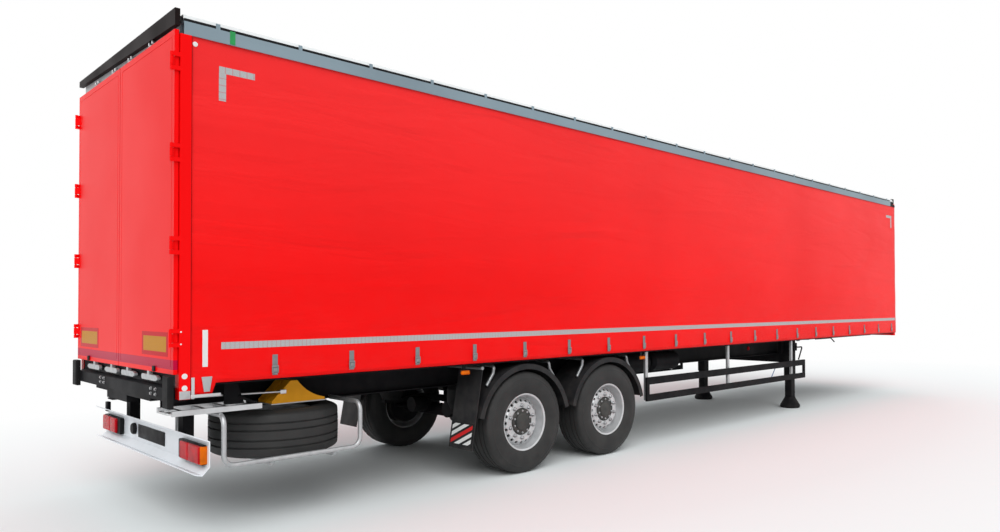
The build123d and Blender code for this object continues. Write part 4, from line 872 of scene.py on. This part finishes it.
class TRAILER_OT_stage(bpy.types.Operator):
    """Camera, floor and soft studio light"""

    bl_idname = "trailer.stage"
    bl_label = "Stage"

    def execute(self, context):
        settings = context.scene.trailer_stage
        self.add_camera(context.scene, settings)
        self.add_floor(context.scene)
        self.add_light(context.scene, settings)
        context.scene.view_settings.view_transform = "Standard"
        return {"FINISHED"}

    def add_camera(self, scene, settings):
        heading, pitch, roll = settings.heading, settings.pitch, settings.roll
        forward = Vector((
            math.cos(pitch) * math.cos(heading), math.cos(pitch) * math.sin(heading), math.sin(pitch)
        ))
        level = forward.cross(Vector((0, 0, 1))).normalized()
        upright = level.cross(forward)
        right = math.cos(roll) * level + math.sin(roll) * upright
        up = -math.sin(roll) * level + math.cos(roll) * upright
        data = bpy.data.cameras.new("photo_camera")
        data.lens = settings.lens
        data.sensor_width = 36.0
        data.sensor_fit = "HORIZONTAL"
        data.shift_x, data.shift_y = settings.shift
        data.clip_end = 500.0
        camera = bpy.data.objects.new("photo_camera", data)
        scene.collection.objects.link(camera)
        turn = Matrix((right, up, -forward)).transposed().to_4x4()
        camera.matrix_world = Matrix.Translation(settings.camera_place) @ turn
        scene.camera = camera

    def add_floor(self, scene):
        """Pale floor that keeps the shadow near the trailer and goes over to white further out."""
        size = 120.0
        shadow_reach, white_reach = 3.6, 8.0
        mesh = bpy.data.meshes.new("studio_floor")
        corners = [(-size, -size, 0), (size, -size, 0), (size, size, 0), (-size, size, 0)]
        mesh.from_pydata(corners, [], [(0, 1, 2, 3)])
        floor = bpy.data.objects.new("studio_floor", mesh)
        scene.collection.objects.link(floor)
        material, tree, shader = blank_material("studio_floor", Roughness=0.9, Specular_IOR_Level=0.0)
        shader.inputs["Base Color"].default_value = (0.825, 0.86, 0.857, 1)
        white = put(tree, "ShaderNodeEmission")
        reach = put(tree, "ShaderNodeVectorMath", operation="LENGTH")
        squeeze = put(tree, "ShaderNodeVectorMath", operation="MULTIPLY")
        squeeze.inputs[1].default_value = (0.5, 1.0, 1.0)
        feed(tree, squeeze, 0, object_place(tree))
        feed(tree, reach, 0, squeeze.outputs[0])
        far = spread(tree, reach.outputs["Value"], shadow_reach, white_reach, 0.0, 1.0)
        share = maths(tree, "MULTIPLY", far, background_ray(tree))
        blend_surfaces(tree, share, shader, white, "Material Output")
        mesh.materials.append(material)

    def add_light(self, scene, settings):
        world = bpy.data.worlds.new("studio_world")
        scene.world = world
        world.use_nodes = True
        tree = world.node_tree
        soft = tree.nodes["Background"]
        soft.inputs["Color"].default_value = (0.97, 0.98, 1.0, 1)
        direction = put(tree, "ShaderNodeSeparateXYZ")
        feed(tree, direction, 0, put(tree, "ShaderNodeTexCoord").outputs["Generated"])
        feed(tree, soft, "Strength", spread(
            tree, direction.outputs["Z"], 0.0, 1.0, settings.horizon * settings.sky, settings.sky
        ))
        white = put(tree, "ShaderNodeBackground")
        white.inputs["Color"].default_value = (1, 1, 1, 1)
        white.inputs["Strength"].default_value = 1.0
        blend_surfaces(tree, background_ray(tree), soft, white, "World Output")
        softness, tilt, turn = (math.radians(degrees) for degrees in (50, 48, -38))
        data = bpy.data.lights.new("soft_key", "SUN")
        data.energy = settings.key
        data.angle = softness
        key = bpy.data.objects.new("soft_key", data)
        key.rotation_euler = (tilt, 0.0, turn)
        scene.collection.objects.link(key)


class TRAILER_OT_coats(bpy.types.Operator):
    """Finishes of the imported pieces"""

    bl_idname = "trailer.coats"
    bl_label = "Coats"

    def execute(self, context):
        make_materials()
        for finish, names in NODE_FINISH.items():
            for name in names:
                body = frame["nodes"][name]
                if body.material_slots:
                    body.material_slots[0].material = MATERIALS[finish]
                else:
                    body.data.materials.append(MATERIALS[finish])
        return {"FINISHED"}


class TRAILER_OT_curtains(bpy.types.Operator):
    """Side curtains with their reflective tapes"""

    bl_idname = "trailer.curtains"
    bl_label = "Curtains"

    def execute(self, context):
        for name, side in SIDES:
            sheet = curtain_sheet(f"curtain_cloth_{name}", side)
            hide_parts(f"curtain_{name}")
            for label, along, up, finish in self.bands():
                strip_on_curtain(f"{label}_{name}", side, along, up, finish)
        return {"FINISHED"}

    def bands(self):
        """Tapes as (name, span along from the door face, span up, finish)."""
        tape = sizes().tape_height
        half = 0.026
        return (
            ("contour_tape", (0.334, 13.69), (tape - half, tape + half), "tape_along"),
            ("corner_mark_rear_along", (0.312, 0.584), (3.473, 3.523), "mark_along"),
            ("corner_mark_rear_up", (0.312, 0.365), (3.266, 3.473), "mark_up"),
            ("corner_mark_front_along", (13.276, 13.548), (3.457, 3.507), "mark_along"),
            ("corner_mark_front_up", (13.495, 13.548), (3.266, 3.457), "mark_up"),
            ("edge_strip", (0.200, 0.238), (1.294, 1.563), "white_trim"),
        )


# Bars of a buckle as spans along and up
BUCKLE_BARS = (
    ((-BUCKLE_HALF, BUCKLE_HALF), (1.262, 1.274)),
    ((-BUCKLE_HALF, BUCKLE_HALF), (1.216, 1.227)),
    ((-BUCKLE_HALF, -0.020), (1.227, 1.262)),
    ((0.020, BUCKLE_HALF), (1.227, 1.262)),
    ((-0.017, 0.017), (1.206, 1.258)),
)


class TRAILER_OT_buckles(bpy.types.Operator):
    """Strap buckles along the foot of the curtains"""

    bl_idname = "trailer.buckles"
    bl_label = "Buckles"

    def execute(self, context):
        row = ("row", STRAP_COUNT, (STRAP_START, 0, 0), (STRAP_PITCH, 0, 0))
        strap_half, strap_foot, strap_top = 0.022, 1.199, 1.359
        face = CURTAIN_OUT + 0.0003
        strap_out, buckle_out = face + 0.003, face + 0.0115
        for name, side in SIDES:
            strap = bmesh.new()
            add_block(
                strap, (-strap_half, side * face, strap_foot),
                (strap_half, side * strap_out, strap_top), 0.001, 1,
            )
            repeat(f"strap_{name}", mesh_from("strap", strap), "strap_grey", row)
            buckle = bmesh.new()
            for along, up in BUCKLE_BARS:
                add_block(
                    buckle, (along[0], side * strap_out, up[0]),
                    (along[1], side * buckle_out, up[1]), 0.002, 1,
                )
            repeat(f"buckle_{name}", mesh_from("buckle", buckle), "buckle_steel", row)
        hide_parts("curtain_buckles")
        return {"FINISHED"}


class TRAILER_OT_roof(bpy.types.Operator):
    """Roof cloth, edge seal and strap"""

    bl_idname = "trailer.roof"
    bl_label = "Roof"

    def execute(self, context):
        low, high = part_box("roof_tarp")
        outline = self.outline(low, high)
        sheet = self.cloth(low, high, outline)
        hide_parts("roof_tarp")
        self.trim(low.z)
        return {"FINISHED"}

    def outline(self, low, high):
        """Section of the cloth as (across, up), from the right edge to the left."""
        inset, fall, parts = 0.001, 0.015, 10
        half, shoulder = high.y - inset, high.y - 0.017
        edge = [(-half, low.z + inset), (-half + 0.006, low.z + 0.024), (-shoulder, high.z - inset - fall)]
        crown = [
            (shoulder * part / parts, high.z - inset - fall * abs(part / parts))
            for part in range(1 - parts, parts)
        ]
        return edge + crown + [(-y, z) for y, z in edge[::-1]]

    def cloth(self, low, high, outline):
        """Sheet over the bows that dips between them."""
        bow_low, bow_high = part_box("roof_bows")
        bow_half, bow_gaps = 0.020, 20
        columns, inset = 168, 0.001
        pitch = (bow_high.x - bow_low.x - 2 * bow_half) / bow_gaps
        half = -outline[0][0]
        work = bmesh.new()
        rows = []
        for x in steps_between(low.x + inset, high.x - inset, columns):
            dip = sizes().roof_sag * math.sin(math.pi * (x - bow_low.x - bow_half) / pitch) ** 2
            if not bow_low.x < x < bow_high.x:
                dip = 0.0
            rows.append([
                work.verts.new((x, y, z - dip * max(0.0, 1 - abs(y) / half))) for y, z in outline
            ])
        add_band(work, rows, closed_ring=False)
        mesh = mesh_from("roof_cloth", work)
        sheet = piece("roof_cloth", mesh, "roof_cloth", smooth=50)
        thicken(sheet, 0.0015)
        return sheet

    def trim(self, edge):
        """Black seals along the cloth's edges, and a green strap on the right rail."""
        for name, side in SIDES:
            block_piece(
                f"roof_edge_seal_{name}",
                ((RAIL_LOW.x, side * 1.2622, edge), (RAIL_HIGH.x, side * 1.2635, edge + 0.024)),
                "black_trim", "dark_paint", 0.0005, 1,
            )
        strap_along = (0.385, 0.425)
        strap = bmesh.new()
        for across, up in (((-1.2775, -1.2752), (3.70, 3.80)), ((-1.2775, -1.2645), (3.7976, 3.80))):
            add_block(strap, *spans(strap_along, across, up), 0.001, 1)
        piece("roof_strap", mesh_from("roof_strap", strap), "green_strap", smooth=40)


# Half sections as (distance from the wheel's middle, radius)
SIDE_WALL = (
    (0.1475, 0.2870), (0.1560, 0.2905), (0.1640, 0.3000), (0.1720, 0.3150), (0.1745, 0.3200),
    (0.1785, 0.3300), (0.1860, 0.3550), (0.1905, 0.3800), (0.1920, 0.4050), (0.1905, 0.4300),
    (0.1870, 0.4520), (0.1885, 0.4545), (0.1880, 0.4600), (0.1850, 0.4640), (0.1790, 0.4850),
    (0.1700, 0.5030), (0.1600, 0.5150), (0.1500, 0.5200),
)
DISC_OUTLINE = (
    (-0.161, 0.2985), (-0.157, 0.2990), (-0.150, 0.2930), (-0.149, 0.2865), (-0.110, 0.2850),
    (-0.080, 0.2660), (0.030, 0.2660), (0.080, 0.2850), (0.149, 0.2865), (0.150, 0.2930), (0.157, 0.2990),
    (0.161, 0.2980), (0.160, 0.2900), (0.154, 0.2790), (0.140, 0.2755), (0.090, 0.2735), (0.060, 0.2640),
    (0.050, 0.2610), (0.052, 0.2540), (0.068, 0.2430), (0.092, 0.2260), (0.105, 0.2120), (0.1105, 0.2000),
    (0.1105, 0.1900), (0.1090, 0.1850), (0.1100, 0.1800), (0.1100, 0.1410), (0.0965, 0.1405),
    (0.0965, 0.1960), (0.082, 0.2180), (0.058, 0.2340), (0.036, 0.2490), (0.028, 0.2560), (-0.076, 0.2560),
    (-0.104, 0.2740), (-0.150, 0.2780),
)
CAP_OUTLINE = (
    (0.1218, 0.0), (0.1218, 0.094), (0.1290, 0.0935), (0.1340, 0.087), (0.1370, 0.066), (0.1385, 0.036),
    (0.1390, 0.0),
)
# Washer, hexagon and stud of a wheel nut, and washer and head of a hub bolt, each with its number of sides
NUT_PARTS = (
    (20, ((0.1102, 0.0), (0.1102, 0.0225), (0.1132, 0.0225), (0.1132, 0.0))),
    (6, ((0.1130, 0.0), (0.1130, 0.0180), (0.1295, 0.0180), (0.1320, 0.0155), (0.1320, 0.0))),
    (12, ((0.1315, 0.0), (0.1315, 0.0105), (0.1400, 0.0105), (0.1420, 0.0080), (0.1420, 0.0))),
)
HUB_BOLT_PARTS = (
    (16, ((0.1220, 0.0), (0.1220, 0.0115), (0.1245, 0.0115), (0.1245, 0.0))),
    (6, ((0.1240, 0.0), (0.1240, 0.0088), (0.1305, 0.0088), (0.1320, 0.0070), (0.1320, 0.0))),
)
NUT_RING = 0.1675
HUB_BOLT_RING = 0.113
HUB_BOLTS = 10


def wheel_place(label):
    """Matrix of a wheel: local X outboard along the axle, origin at the tyre's middle."""
    low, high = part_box(f"tyre_{label}")
    turn = math.pi / 2 if label.endswith("left") else -math.pi / 2
    return Matrix.Translation((low + high) / 2) @ Matrix.Rotation(turn, 4, "Z")


def spare_place():
    """Matrix of the spare wheel: local X points down."""
    low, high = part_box("spare_tyre")
    return Matrix.Translation((low + high) / 2) @ Matrix.Rotation(math.pi / 2, 4, "Y")


class TRAILER_OT_tyres(bpy.types.Operator):
    """Tyres with grooved tread"""

    bl_idname = "trailer.tyres"
    bl_label = "Tyres"

    def execute(self, context):
        outline = self.outline()
        for body in WHEEL_BODIES:
            label = body.replace("wheel_", "")
            tyre = self.tyre(f"tyre_tread_{label}", outline, wheel_place(label), body)
            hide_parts(f"tyre_{label}")
        spare = self.tyre("spare_tyre_tread", outline, spare_place(), BODY)
        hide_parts("spare_tyre")
        return {"FINISHED"}

    def outline(self):
        """Section of the tyre from bead to bead, with four grooves."""
        depth = sizes().tread_depth
        crown_radius, crown_fall = 0.525, 0.16
        groove_half, foot_half = 0.0075, 0.0055
        tread = []
        for middle in (0.098, 0.040):
            crown = crown_radius - crown_fall * middle ** 2
            for offset, drop in (
                (groove_half, 0.0), (foot_half, depth), (-foot_half, depth), (-groove_half, 0.0)
            ):
                tread.append((middle + offset, crown - drop))
        half = [*SIDE_WALL, *tread]
        return [(-along, radius) for along, radius in half] + half[::-1]

    def tyre(self, name, outline, place, body):
        """Turned section with small notches along the shoulders."""
        segments, notch_depth, notch_every = 168, 0.0035, 4
        notch_from, notch_to, notch_radius = 0.118, 0.166, 0.5
        work = bmesh.new()
        rings = []
        for step, angle in enumerate(circle(segments)):
            ring = []
            for along, radius in outline:
                shoulder = notch_from < abs(along) < notch_to and radius > notch_radius
                reach = radius - (notch_depth if shoulder and step % notch_every == 0 else 0.0)
                ring.append(
                    work.verts.new(place @ Vector((along, reach * math.cos(angle), reach * math.sin(angle))))
                )
            rings.append(ring)
        add_band(work, rings, closed_path=True)
        return piece(name, mesh_from(name, work), "tyre_rubber", body, 32)


class TRAILER_OT_wheels(bpy.types.Operator):
    """Steel disc wheels with vent holes, nuts and hub bolts"""

    bl_idname = "trailer.wheels"
    bl_label = "Wheels"

    def execute(self, context):
        disc = self.disc_mesh()
        for body in WHEEL_BODIES:
            label = body.replace("wheel_", "")
            place = wheel_place(label)
            rim = self.placed(f"rim_disc_{label}", disc, place, body)
            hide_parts(f"rim_{label}")
            self.fasteners(label, place, body)
        spare = self.placed("spare_rim_disc", disc, spare_place(), BODY)
        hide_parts("spare_rim")
        return {"FINISHED"}

    def placed(self, name, disc, place, body):
        mesh = disc.copy()
        mesh.name = name
        mesh.transform(place)
        return piece(name, mesh, "wheel_paint", body, 35)

    def disc_mesh(self):
        """Rim and disc in the wheel's own frame."""
        work = bmesh.new()
        add_turned(work, DISC_OUTLINE, 120, Matrix.Identity(4), closed=True)
        blank = bpy.data.objects.new("disc_blank", mesh_from("disc_blank", work))
        cutter = bpy.data.objects.new("vent_holes", self.hole_mesh())
        for made in (blank, cutter):
            bpy.context.scene.collection.objects.link(made)
        cut = blank.modifiers.new("holes", "BOOLEAN")
        cut.operation = "DIFFERENCE"
        cut.solver = "EXACT"
        cut.object = cutter
        edge = blank.modifiers.new("edges", "BEVEL")
        edge.width = 0.0022
        edge.segments = 2
        edge.limit_method = "ANGLE"
        edge.angle_limit = math.radians(50)
        result = evaluated_mesh(blank)
        for made in (blank, cutter):
            bpy.data.objects.remove(made)
        return result

    def hole_mesh(self):
        """Rounded cutters through the slope of the disc."""
        count, radius, half_width, half_height = 20, 0.2170, 0.0165, 0.0125
        sides, squareness, ends_at = 20, 0.8, (0.020, 0.170)
        work = bmesh.new()
        for turn_angle in circle(count):
            turn = Matrix.Rotation(turn_angle, 4, "X")
            ends = []
            for along in ends_at:
                ring = []
                for angle in circle(sides):
                    across, up = (
                        math.copysign(abs(part) ** squareness, part)
                        for part in (math.cos(angle), math.sin(angle))
                    )
                    place = Vector((along, half_width * across, radius + half_height * up))
                    ring.append(work.verts.new(turn @ place))
                ends.append(ring)
            add_band(work, ends)
            work.faces.new(ends[0][::-1])
            work.faces.new(ends[1])
        return mesh_from("vent_holes", work)

    def fasteners(self, label, place, body):
        """Ring of wheel nuts on the disc, hub bolts and cap on the hub."""
        upright = place @ Matrix.Rotation(math.pi / 2, 4, "Y")
        stand_up = Matrix.Rotation(-math.pi / 2, 4, "Y")
        for name, parts, count, radius in (
            ("wheel_nuts", NUT_PARTS, sizes().wheel_nuts, NUT_RING),
            ("hub_bolts", HUB_BOLT_PARTS, HUB_BOLTS, HUB_BOLT_RING),
        ):
            work = bmesh.new()
            for sides, outline in parts:
                add_turned(work, outline, sides, stand_up)
            ring = ("ring", count, radius, upright)
            repeat(f"{name}_{label}", mesh_from(name, work), "bare_steel", ring, body, 30)
        turned_piece(f"hub_cap_{label}", CAP_OUTLINE, 48, place, "hub_paint", body)


class TRAILER_OT_doors(bpy.types.Operator):
    """Seals, stops and plain reflective plates on the rear doors"""

    bl_idname = "trailer.doors"
    bl_label = "Doors"

    def execute(self, context):
        seam = 0.0050
        for name, side in SIDES:
            low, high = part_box(f"door_{name}_panel")
            # Name, spans along, out and up, finish, slot, bevel, segments and smooth angle
            flats = (
                ("plate_border", (-0.0008, 0.0004), (0.585, 1.150), (1.372, 1.548), "plate_red", "red_paint",
                 0.0003, 1, None),
                ("plate", (-0.0013, -0.0006), (0.620, 1.115), (1.404, 1.516), "plate_ochre", "lamp_amber",
                 0.0003, 1, None),
                ("door_seal", (0.006, 0.018), (seam - 0.0035, seam), (low.z, high.z), "black_trim",
                 "buffer_rubber", 0.001, 1, None),
                ("door_stop", (-0.012, 0.0), (0.845, 0.895), (low.z + 0.004, low.z + 0.044), "black_trim",
                 "buffer_rubber", 0.004, 2, 40),
            )
            for label, along, across, up, *rest in flats:
                block_piece(f"{label}_{name}", spans(along, across, up, side), *rest, body=f"door_{name}")
        return {"FINISHED"}


# Lenses as (name, span outwards from the lamp's inner end, span forward from its face, finish)
LAMP_LENSES = (
    ("amber", (0.464, 0.480), (0.010, 0.062), "lens_amber"),
    ("red", (0.245, 0.463), (0.001, 0.034), "lens_red"),
    ("fog", (0.075, 0.243), (0.001, 0.030), "lens_red"),
)
LAMP_WIDE = 0.480
SILL_BOLT = (
    (0.0, 0.0), (0.0, 0.015), (0.003, 0.015), (0.003, 0.011), (0.010, 0.011), (0.012, 0.009), (0.012, 0.0)
)
PLATE_LAMP = ((0.0003, 0.0), (0.0003, 0.050), (0.020, 0.050), (0.030, 0.042), (0.034, 0.0))
LOCK_PLACES = (-0.720, -0.215, 0.215, 0.720)


class TRAILER_OT_rear(bpy.types.Operator):
    """Rear lamps, plain number plate, sill bolts and lock keepers"""

    bl_idname = "trailer.rear"
    bl_label = "Rear lamps and sill"

    def execute(self, context):
        self.lamps()
        self.plate()
        self.sill_bolts()
        bracket = spans((0.180, 0.212), (0.990, 1.055), (0.757, 0.846))
        block_piece("beam_bracket", bracket, "black_trim", "buffer_rubber", 0.004)
        self.keepers()
        return {"FINISHED"}

    def lamps(self):
        """Black housings with red lenses, and amber ones at their outer ends."""
        low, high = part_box("rear_lamps")
        inner = high.y - LAMP_WIDE
        rim = 0.006
        for name, side in SIDES:
            corners = (
                (low.x + 0.022, side * inner, low.z), (high.x, side * (high.y - 0.002), high.z)
            )
            block_piece(f"lamp_housing_{name}", corners, "black_trim", "buffer_rubber", 0.008, 3)
            for label, (start, end), (front, back), finish in LAMP_LENSES:
                corners = (
                    (low.x + front, side * (inner + start), low.z + rim),
                    (low.x + back, side * (inner + end), high.z - rim),
                )
                bevel = min(0.013, 0.4 * (end - start))
                block_piece(f"lamp_{label}_{name}", corners, finish, "lamp_red", bevel, 4)
        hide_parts("rear_lamps")

    def plate(self):
        """Plate on the web of the beam, with a round lamp beside it."""
        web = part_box("underrun_beam")[1].x - 0.008
        block_piece(
            "number_plate_bare", ((web - 0.006, -0.330, 0.590), (web - 0.0003, 0.330, 0.704)), "black_trim",
            "buffer_rubber", 0.0025,
        )
        place = Matrix.Translation((web, 0.425, 0.655)) @ Matrix.Rotation(math.pi, 4, "Z")
        turned_piece("plate_lamp", PLATE_LAMP, 32, place, "black_trim")

    def sill_bolts(self):
        bolt = bmesh.new()
        add_turned(bolt, SILL_BOLT, 6, Matrix.Rotation(math.pi, 4, "Z"))
        bolt_mesh = mesh_from("sill_bolt", bolt)
        for name, start in (("right", -0.900), ("left", 0.400)):
            for row, height in (("upper", 1.122), ("lower", 1.084)):
                pattern = ("row", 2, (DOOR_FACE, start, height), (0, 0.100, 0))
                label = f"sill_bolts_{row}_{name}"
                repeat(label, bolt_mesh.copy(), "bare_steel", pattern)

    def keepers(self):
        """Forked keepers on the header, one over each lock bar."""
        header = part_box("rear_header")[0].x
        finger_front, finger_wide, finger_up = DOOR_FACE + 0.004, 0.017, (3.7370, 3.7640)
        base_thick, base_half, base_up = 0.006, 0.050, (3.7340, 3.7600)
        keepers = bmesh.new()
        for across in LOCK_PLACES:
            for edge in (across - 0.045, across + 0.028):
                add_block(
                    keepers, (finger_front, edge, finger_up[0]),
                    (header, edge + finger_wide, finger_up[1]), 0.003,
                )
            add_block(
                keepers, (header - base_thick, across - base_half, base_up[0]),
                (header, across + base_half, base_up[1]), 0.002, 1,
            )
        mesh = mesh_from("lock_keepers", keepers)
        piece("lock_keepers", mesh, "ladder_alloy", smooth=40)


# Caps on a rear post as (distance from the door face, height, radius)
POST_CAPS = ((0.072, 1.235, 0.020), (0.072, 1.150, 0.020), (0.046, 1.465, 0.006), (0.046, 1.553, 0.006))
TOP_CAP = ((0.0, 0.0), (0.0, 0.018), (0.004, 0.018), (0.006, 0.012), (0.0065, 0.0))
RAIL_LAMP = ((0.0, 0.0), (0.0, 0.030), (0.012, 0.030), (0.020, 0.020), (0.023, 0.0))


class TRAILER_OT_fittings(bpy.types.Operator):
    """Striped flap plate, tensioners, marker lamps, rods, levers and handles"""

    bl_idname = "trailer.fittings"
    bl_label = "Small fittings"

    def execute(self, context):
        self.flap_plate()
        for name, side in SIDES:
            self.tensioner(name, side)
            self.post_caps(name, side)
        self.rods()
        self.ladder()
        self.markers()
        return {"FINISHED"}

    def flap_plate(self):
        """Striped plate on the rear of the right mudflap, along the flap's lean."""
        flap_top, flap_foot = (2.882, 1.100), (2.745, 0.325)
        lean = (flap_top[0] - flap_foot[0]) / (flap_top[1] - flap_foot[1])
        foot = 0.345
        ahead = 2.735 + lean * (foot - flap_foot[1])
        work = bmesh.new()
        add_block(work, (-0.004, -1.232, 0.0), (-0.0003, -0.884, 0.235), 0.001, 1)
        mesh = mesh_from("flap_plate", work)
        shear = Matrix.Identity(4)
        shear[0][2] = lean
        mesh.transform(shear)
        mesh.transform(Matrix.Translation((DOOR_FACE + ahead, 0, foot)))
        piece("flap_stripes_right", mesh, "warning_stripes")

    def tensioner(self, name, side):
        """Curtain tensioner behind a rear post, and the post's steel foot."""
        out = CURTAIN_OUT
        post_face = CAD_HIGH.y
        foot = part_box("rear_corner_posts")[0].z
        # Spans along from the door face, out from the middle and up, then finish and slot
        flats = (
            ("tensioner_plate", (0.192, 0.268), (out, out + 0.009), (1.112, 1.222),
             "header_paint", "rail_aluminium"),
            ("tensioner_lever", (0.116, 0.330), (out + 0.001, out + 0.010), (1.074, 1.098),
             "ladder_alloy", "galvanised"),
            ("tensioner_flat", (0.121, 0.144), (out, out + 0.005), (1.068, 1.222),
             "ladder_alloy", "galvanised"),
            ("post_foot", (0.036, 0.112), (post_face - 0.002, post_face + 0.0004),
             (foot + 0.001, foot + 0.060), "galvanised", "galvanised"),
        )
        for label, along, across, up, finish, slot in flats:
            flat = bmesh.new()
            add_block(flat, *spans(along, across, up, side), min(0.004, 0.4 * (across[1] - across[0])))
            if label == "tensioner_plate":
                self.taper(flat, DOOR_FACE + sum(along) / 2, up[0] + 0.01)
            piece(f"{label}_{name}", mesh_from(label, flat), finish, smooth=40)

    def taper(self, work, middle, below):
        """Narrows a plate's foot."""
        for vert in work.verts:
            if vert.co.z < below:
                vert.co.x = middle + 0.55 * (vert.co.x - middle)

    def post_caps(self, name, side):
        """White caps on a rear post, and the dark seam of the curtain's pole beside it."""
        turn = Matrix.Rotation(side * math.pi / 2, 4, "Z")
        sunk = 0.0005
        caps = bmesh.new()
        for along, height, radius in POST_CAPS:
            outline = ((0.0, 0.0), (0.0, radius), (0.0006, radius), (0.0013, 0.7 * radius), (0.0014, 0.0))
            place = Matrix.Translation((DOOR_FACE + along, side * (CAD_HIGH.y - sunk), height)) @ turn
            add_turned(caps, outline, 24, place)
        top = Matrix.Translation((DOOR_FACE + 0.139, side * (CURTAIN_OUT - sunk), 3.642)) @ turn
        add_turned(caps, TOP_CAP, 24, top)
        piece(f"post_caps_{name}", mesh_from("post_caps", caps), "white_trim", smooth=40)
        across = (CURTAIN_OUT - 0.004, CURTAIN_OUT + 0.0015)
        up = (CURTAIN_LOW.z + 0.004, RAIL_LOW.z - 0.003)
        seam = spans((0.1125, 0.1190), across, up, side)
        block_piece(f"curtain_pole_{name}", seam, "seam_red", "red_paint", 0.001, 1)

    def rods(self):
        """Chock rod from the sill, blue line, curtain lever, and the lamp on the main rail."""
        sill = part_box("rear_sill")[1].x
        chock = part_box("wheel_chocks")[0]
        beside = chock.y - 0.012
        rod = bmesh.new()
        add_tube(rod, [(sill, beside, 1.056), (chock.x + 0.080, beside, 1.036)], 0.009)
        add_block(
            rod, (chock.x + 0.060, chock.y - 0.024, 1.018),
            (chock.x + 0.112, chock.y - 0.0003, 1.052), 0.004,
        )
        piece("chock_rod", mesh_from("chock_rod", rod), "ladder_alloy", smooth=40)
        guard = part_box("side_guard_rails")[1].y - 0.030
        line = [(DOOR_FACE + 8.732, -guard, 0.600), (DOOR_FACE + 8.882, -guard, 0.765)]
        tube_piece("brake_line", line, 0.006, "blue_line")
        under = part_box("floor_side_rails")[0].z - 0.004
        lever = rounded([
            (DOOR_FACE + 10.200, -1.220, under),
            (DOOR_FACE + 10.800, -1.220, under),
            (DOOR_FACE + 10.935, -1.220, under - 0.071),
        ], 0.03)
        tube_piece("curtain_lever", lever, 0.010, "chassis_paint")
        outward = Matrix.Rotation(-math.pi / 2, 4, "Z")
        place = Matrix.Translation((DOOR_FACE + 8.982, -0.653, 1.032)) @ outward
        turned_piece("rail_lamp", RAIL_LAMP, 24, place, "lens_red", smooth=40)

    def ladder(self):
        """Handle at the ladder's rear end, and the bracket that holds its front end."""
        low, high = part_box("access_ladder")
        middle = (low.z + high.z) / 2
        inside, reach, wide = low.x + 0.010, low.x - 0.030, 0.200
        near = low.y + 0.013
        handle = rounded([
            (inside, near, middle), (reach, near, middle + 0.002), (reach, low.y + wide, middle + 0.002),
            (inside, low.y + wide, middle),
        ], 0.02)
        tube_piece("ladder_handle", handle, 0.008, "ladder_alloy")
        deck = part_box("floor_deck")[0].z
        front_lean = 0.080
        bracket = bmesh.new()
        add_block(bracket, *spans((0.446, 0.523), (-1.037, -1.027), (high.z - 0.002, deck)))
        for vert in bracket.verts:
            if vert.co.z < high.z and vert.co.x > DOOR_FACE + 0.500:
                vert.co.x += front_lean
        arm = [(DOOR_FACE + 0.560, -1.032, 1.034), (DOOR_FACE + 0.650, low.y + 0.020, high.z)]
        add_tube(bracket, arm, 0.012)
        mesh = mesh_from("ladder_bracket", bracket)
        piece("ladder_bracket", mesh, "chassis_paint", smooth=40)

    def markers(self):
        """Side marker lamps: black housings with oval amber lenses."""
        low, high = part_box("marker_lamps")
        half, tall, rim, tab = 0.058, 0.050, 0.006, 0.020
        bottom, top = low.z, low.z + tall
        inner, outer = high.y - 0.030, high.y
        for name, side in SIDES:
            housing, lens = bmesh.new(), bmesh.new()
            for x in (low.x + half, high.x - half):
                add_block(
                    housing, (x - half, side * inner, bottom),
                    (x + half, side * (outer - 0.010), top), 0.006,
                )
                add_block(
                    housing, (x - tab, side * inner, top - 0.004),
                    (x + tab, side * (inner + 0.006), high.z), 0.001, 1,
                )
                add_block(
                    lens, (x - half + rim, side * (outer - 0.014), bottom + 0.005),
                    (x + half - rim, side * outer, top - 0.005), 0.0135, 4,
                )
            mesh = mesh_from("marker_housing", housing)
            piece(f"marker_housing_{name}", mesh, "black_trim", smooth=40)
            mesh = mesh_from("marker_lens", lens)
            piece(f"marker_lens_{name}", mesh, "lens_amber", smooth=40)
        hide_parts("marker_lamps")


class TRAILER_PT_panel(bpy.types.Panel):
    """Lists the dressing steps"""

    bl_label = "Trailer dressing"
    bl_idname = "TRAILER_PT_panel"
    bl_space_type = "VIEW_3D"
    bl_region_type = "UI"
    bl_category = "Trailer"

    def draw(self, context):
        for label, group in GROUPS:
            for setting in group.__annotations__:
                self.layout.prop(getattr(context.scene, label), setting)
        for step in STEPS:
            self.layout.operator(step.bl_idname)


STEPS = (
    TRAILER_OT_stage,
    TRAILER_OT_coats,
    TRAILER_OT_curtains,
    TRAILER_OT_buckles,
    TRAILER_OT_roof,
    TRAILER_OT_tyres,
    TRAILER_OT_wheels,
    TRAILER_OT_doors,
    TRAILER_OT_rear,
    TRAILER_OT_fittings,
)
GROUPS = (
    ("trailer_colours", TrailerColours),
    ("trailer_sizes", TrailerSizes),
    ("trailer_stage", TrailerStage),
)


def register():
    for label, group in GROUPS:
        bpy.utils.register_class(group)
        setattr(bpy.types.Scene, label, PointerProperty(type=group))
    for step in STEPS:
        bpy.utils.register_class(step)
    bpy.utils.register_class(TRAILER_PT_panel)


def unregister():
    bpy.utils.unregister_class(TRAILER_PT_panel)
    for step in reversed(STEPS):
        bpy.utils.unregister_class(step)
    for label, group in reversed(GROUPS):
        delattr(bpy.types.Scene, label)
        bpy.utils.unregister_class(group)


def main():
    register()
    for step in STEPS:
        family, action = step.bl_idname.split(".")
        getattr(getattr(bpy.ops, family), action)()


if __name__ == "__main__":
    main()
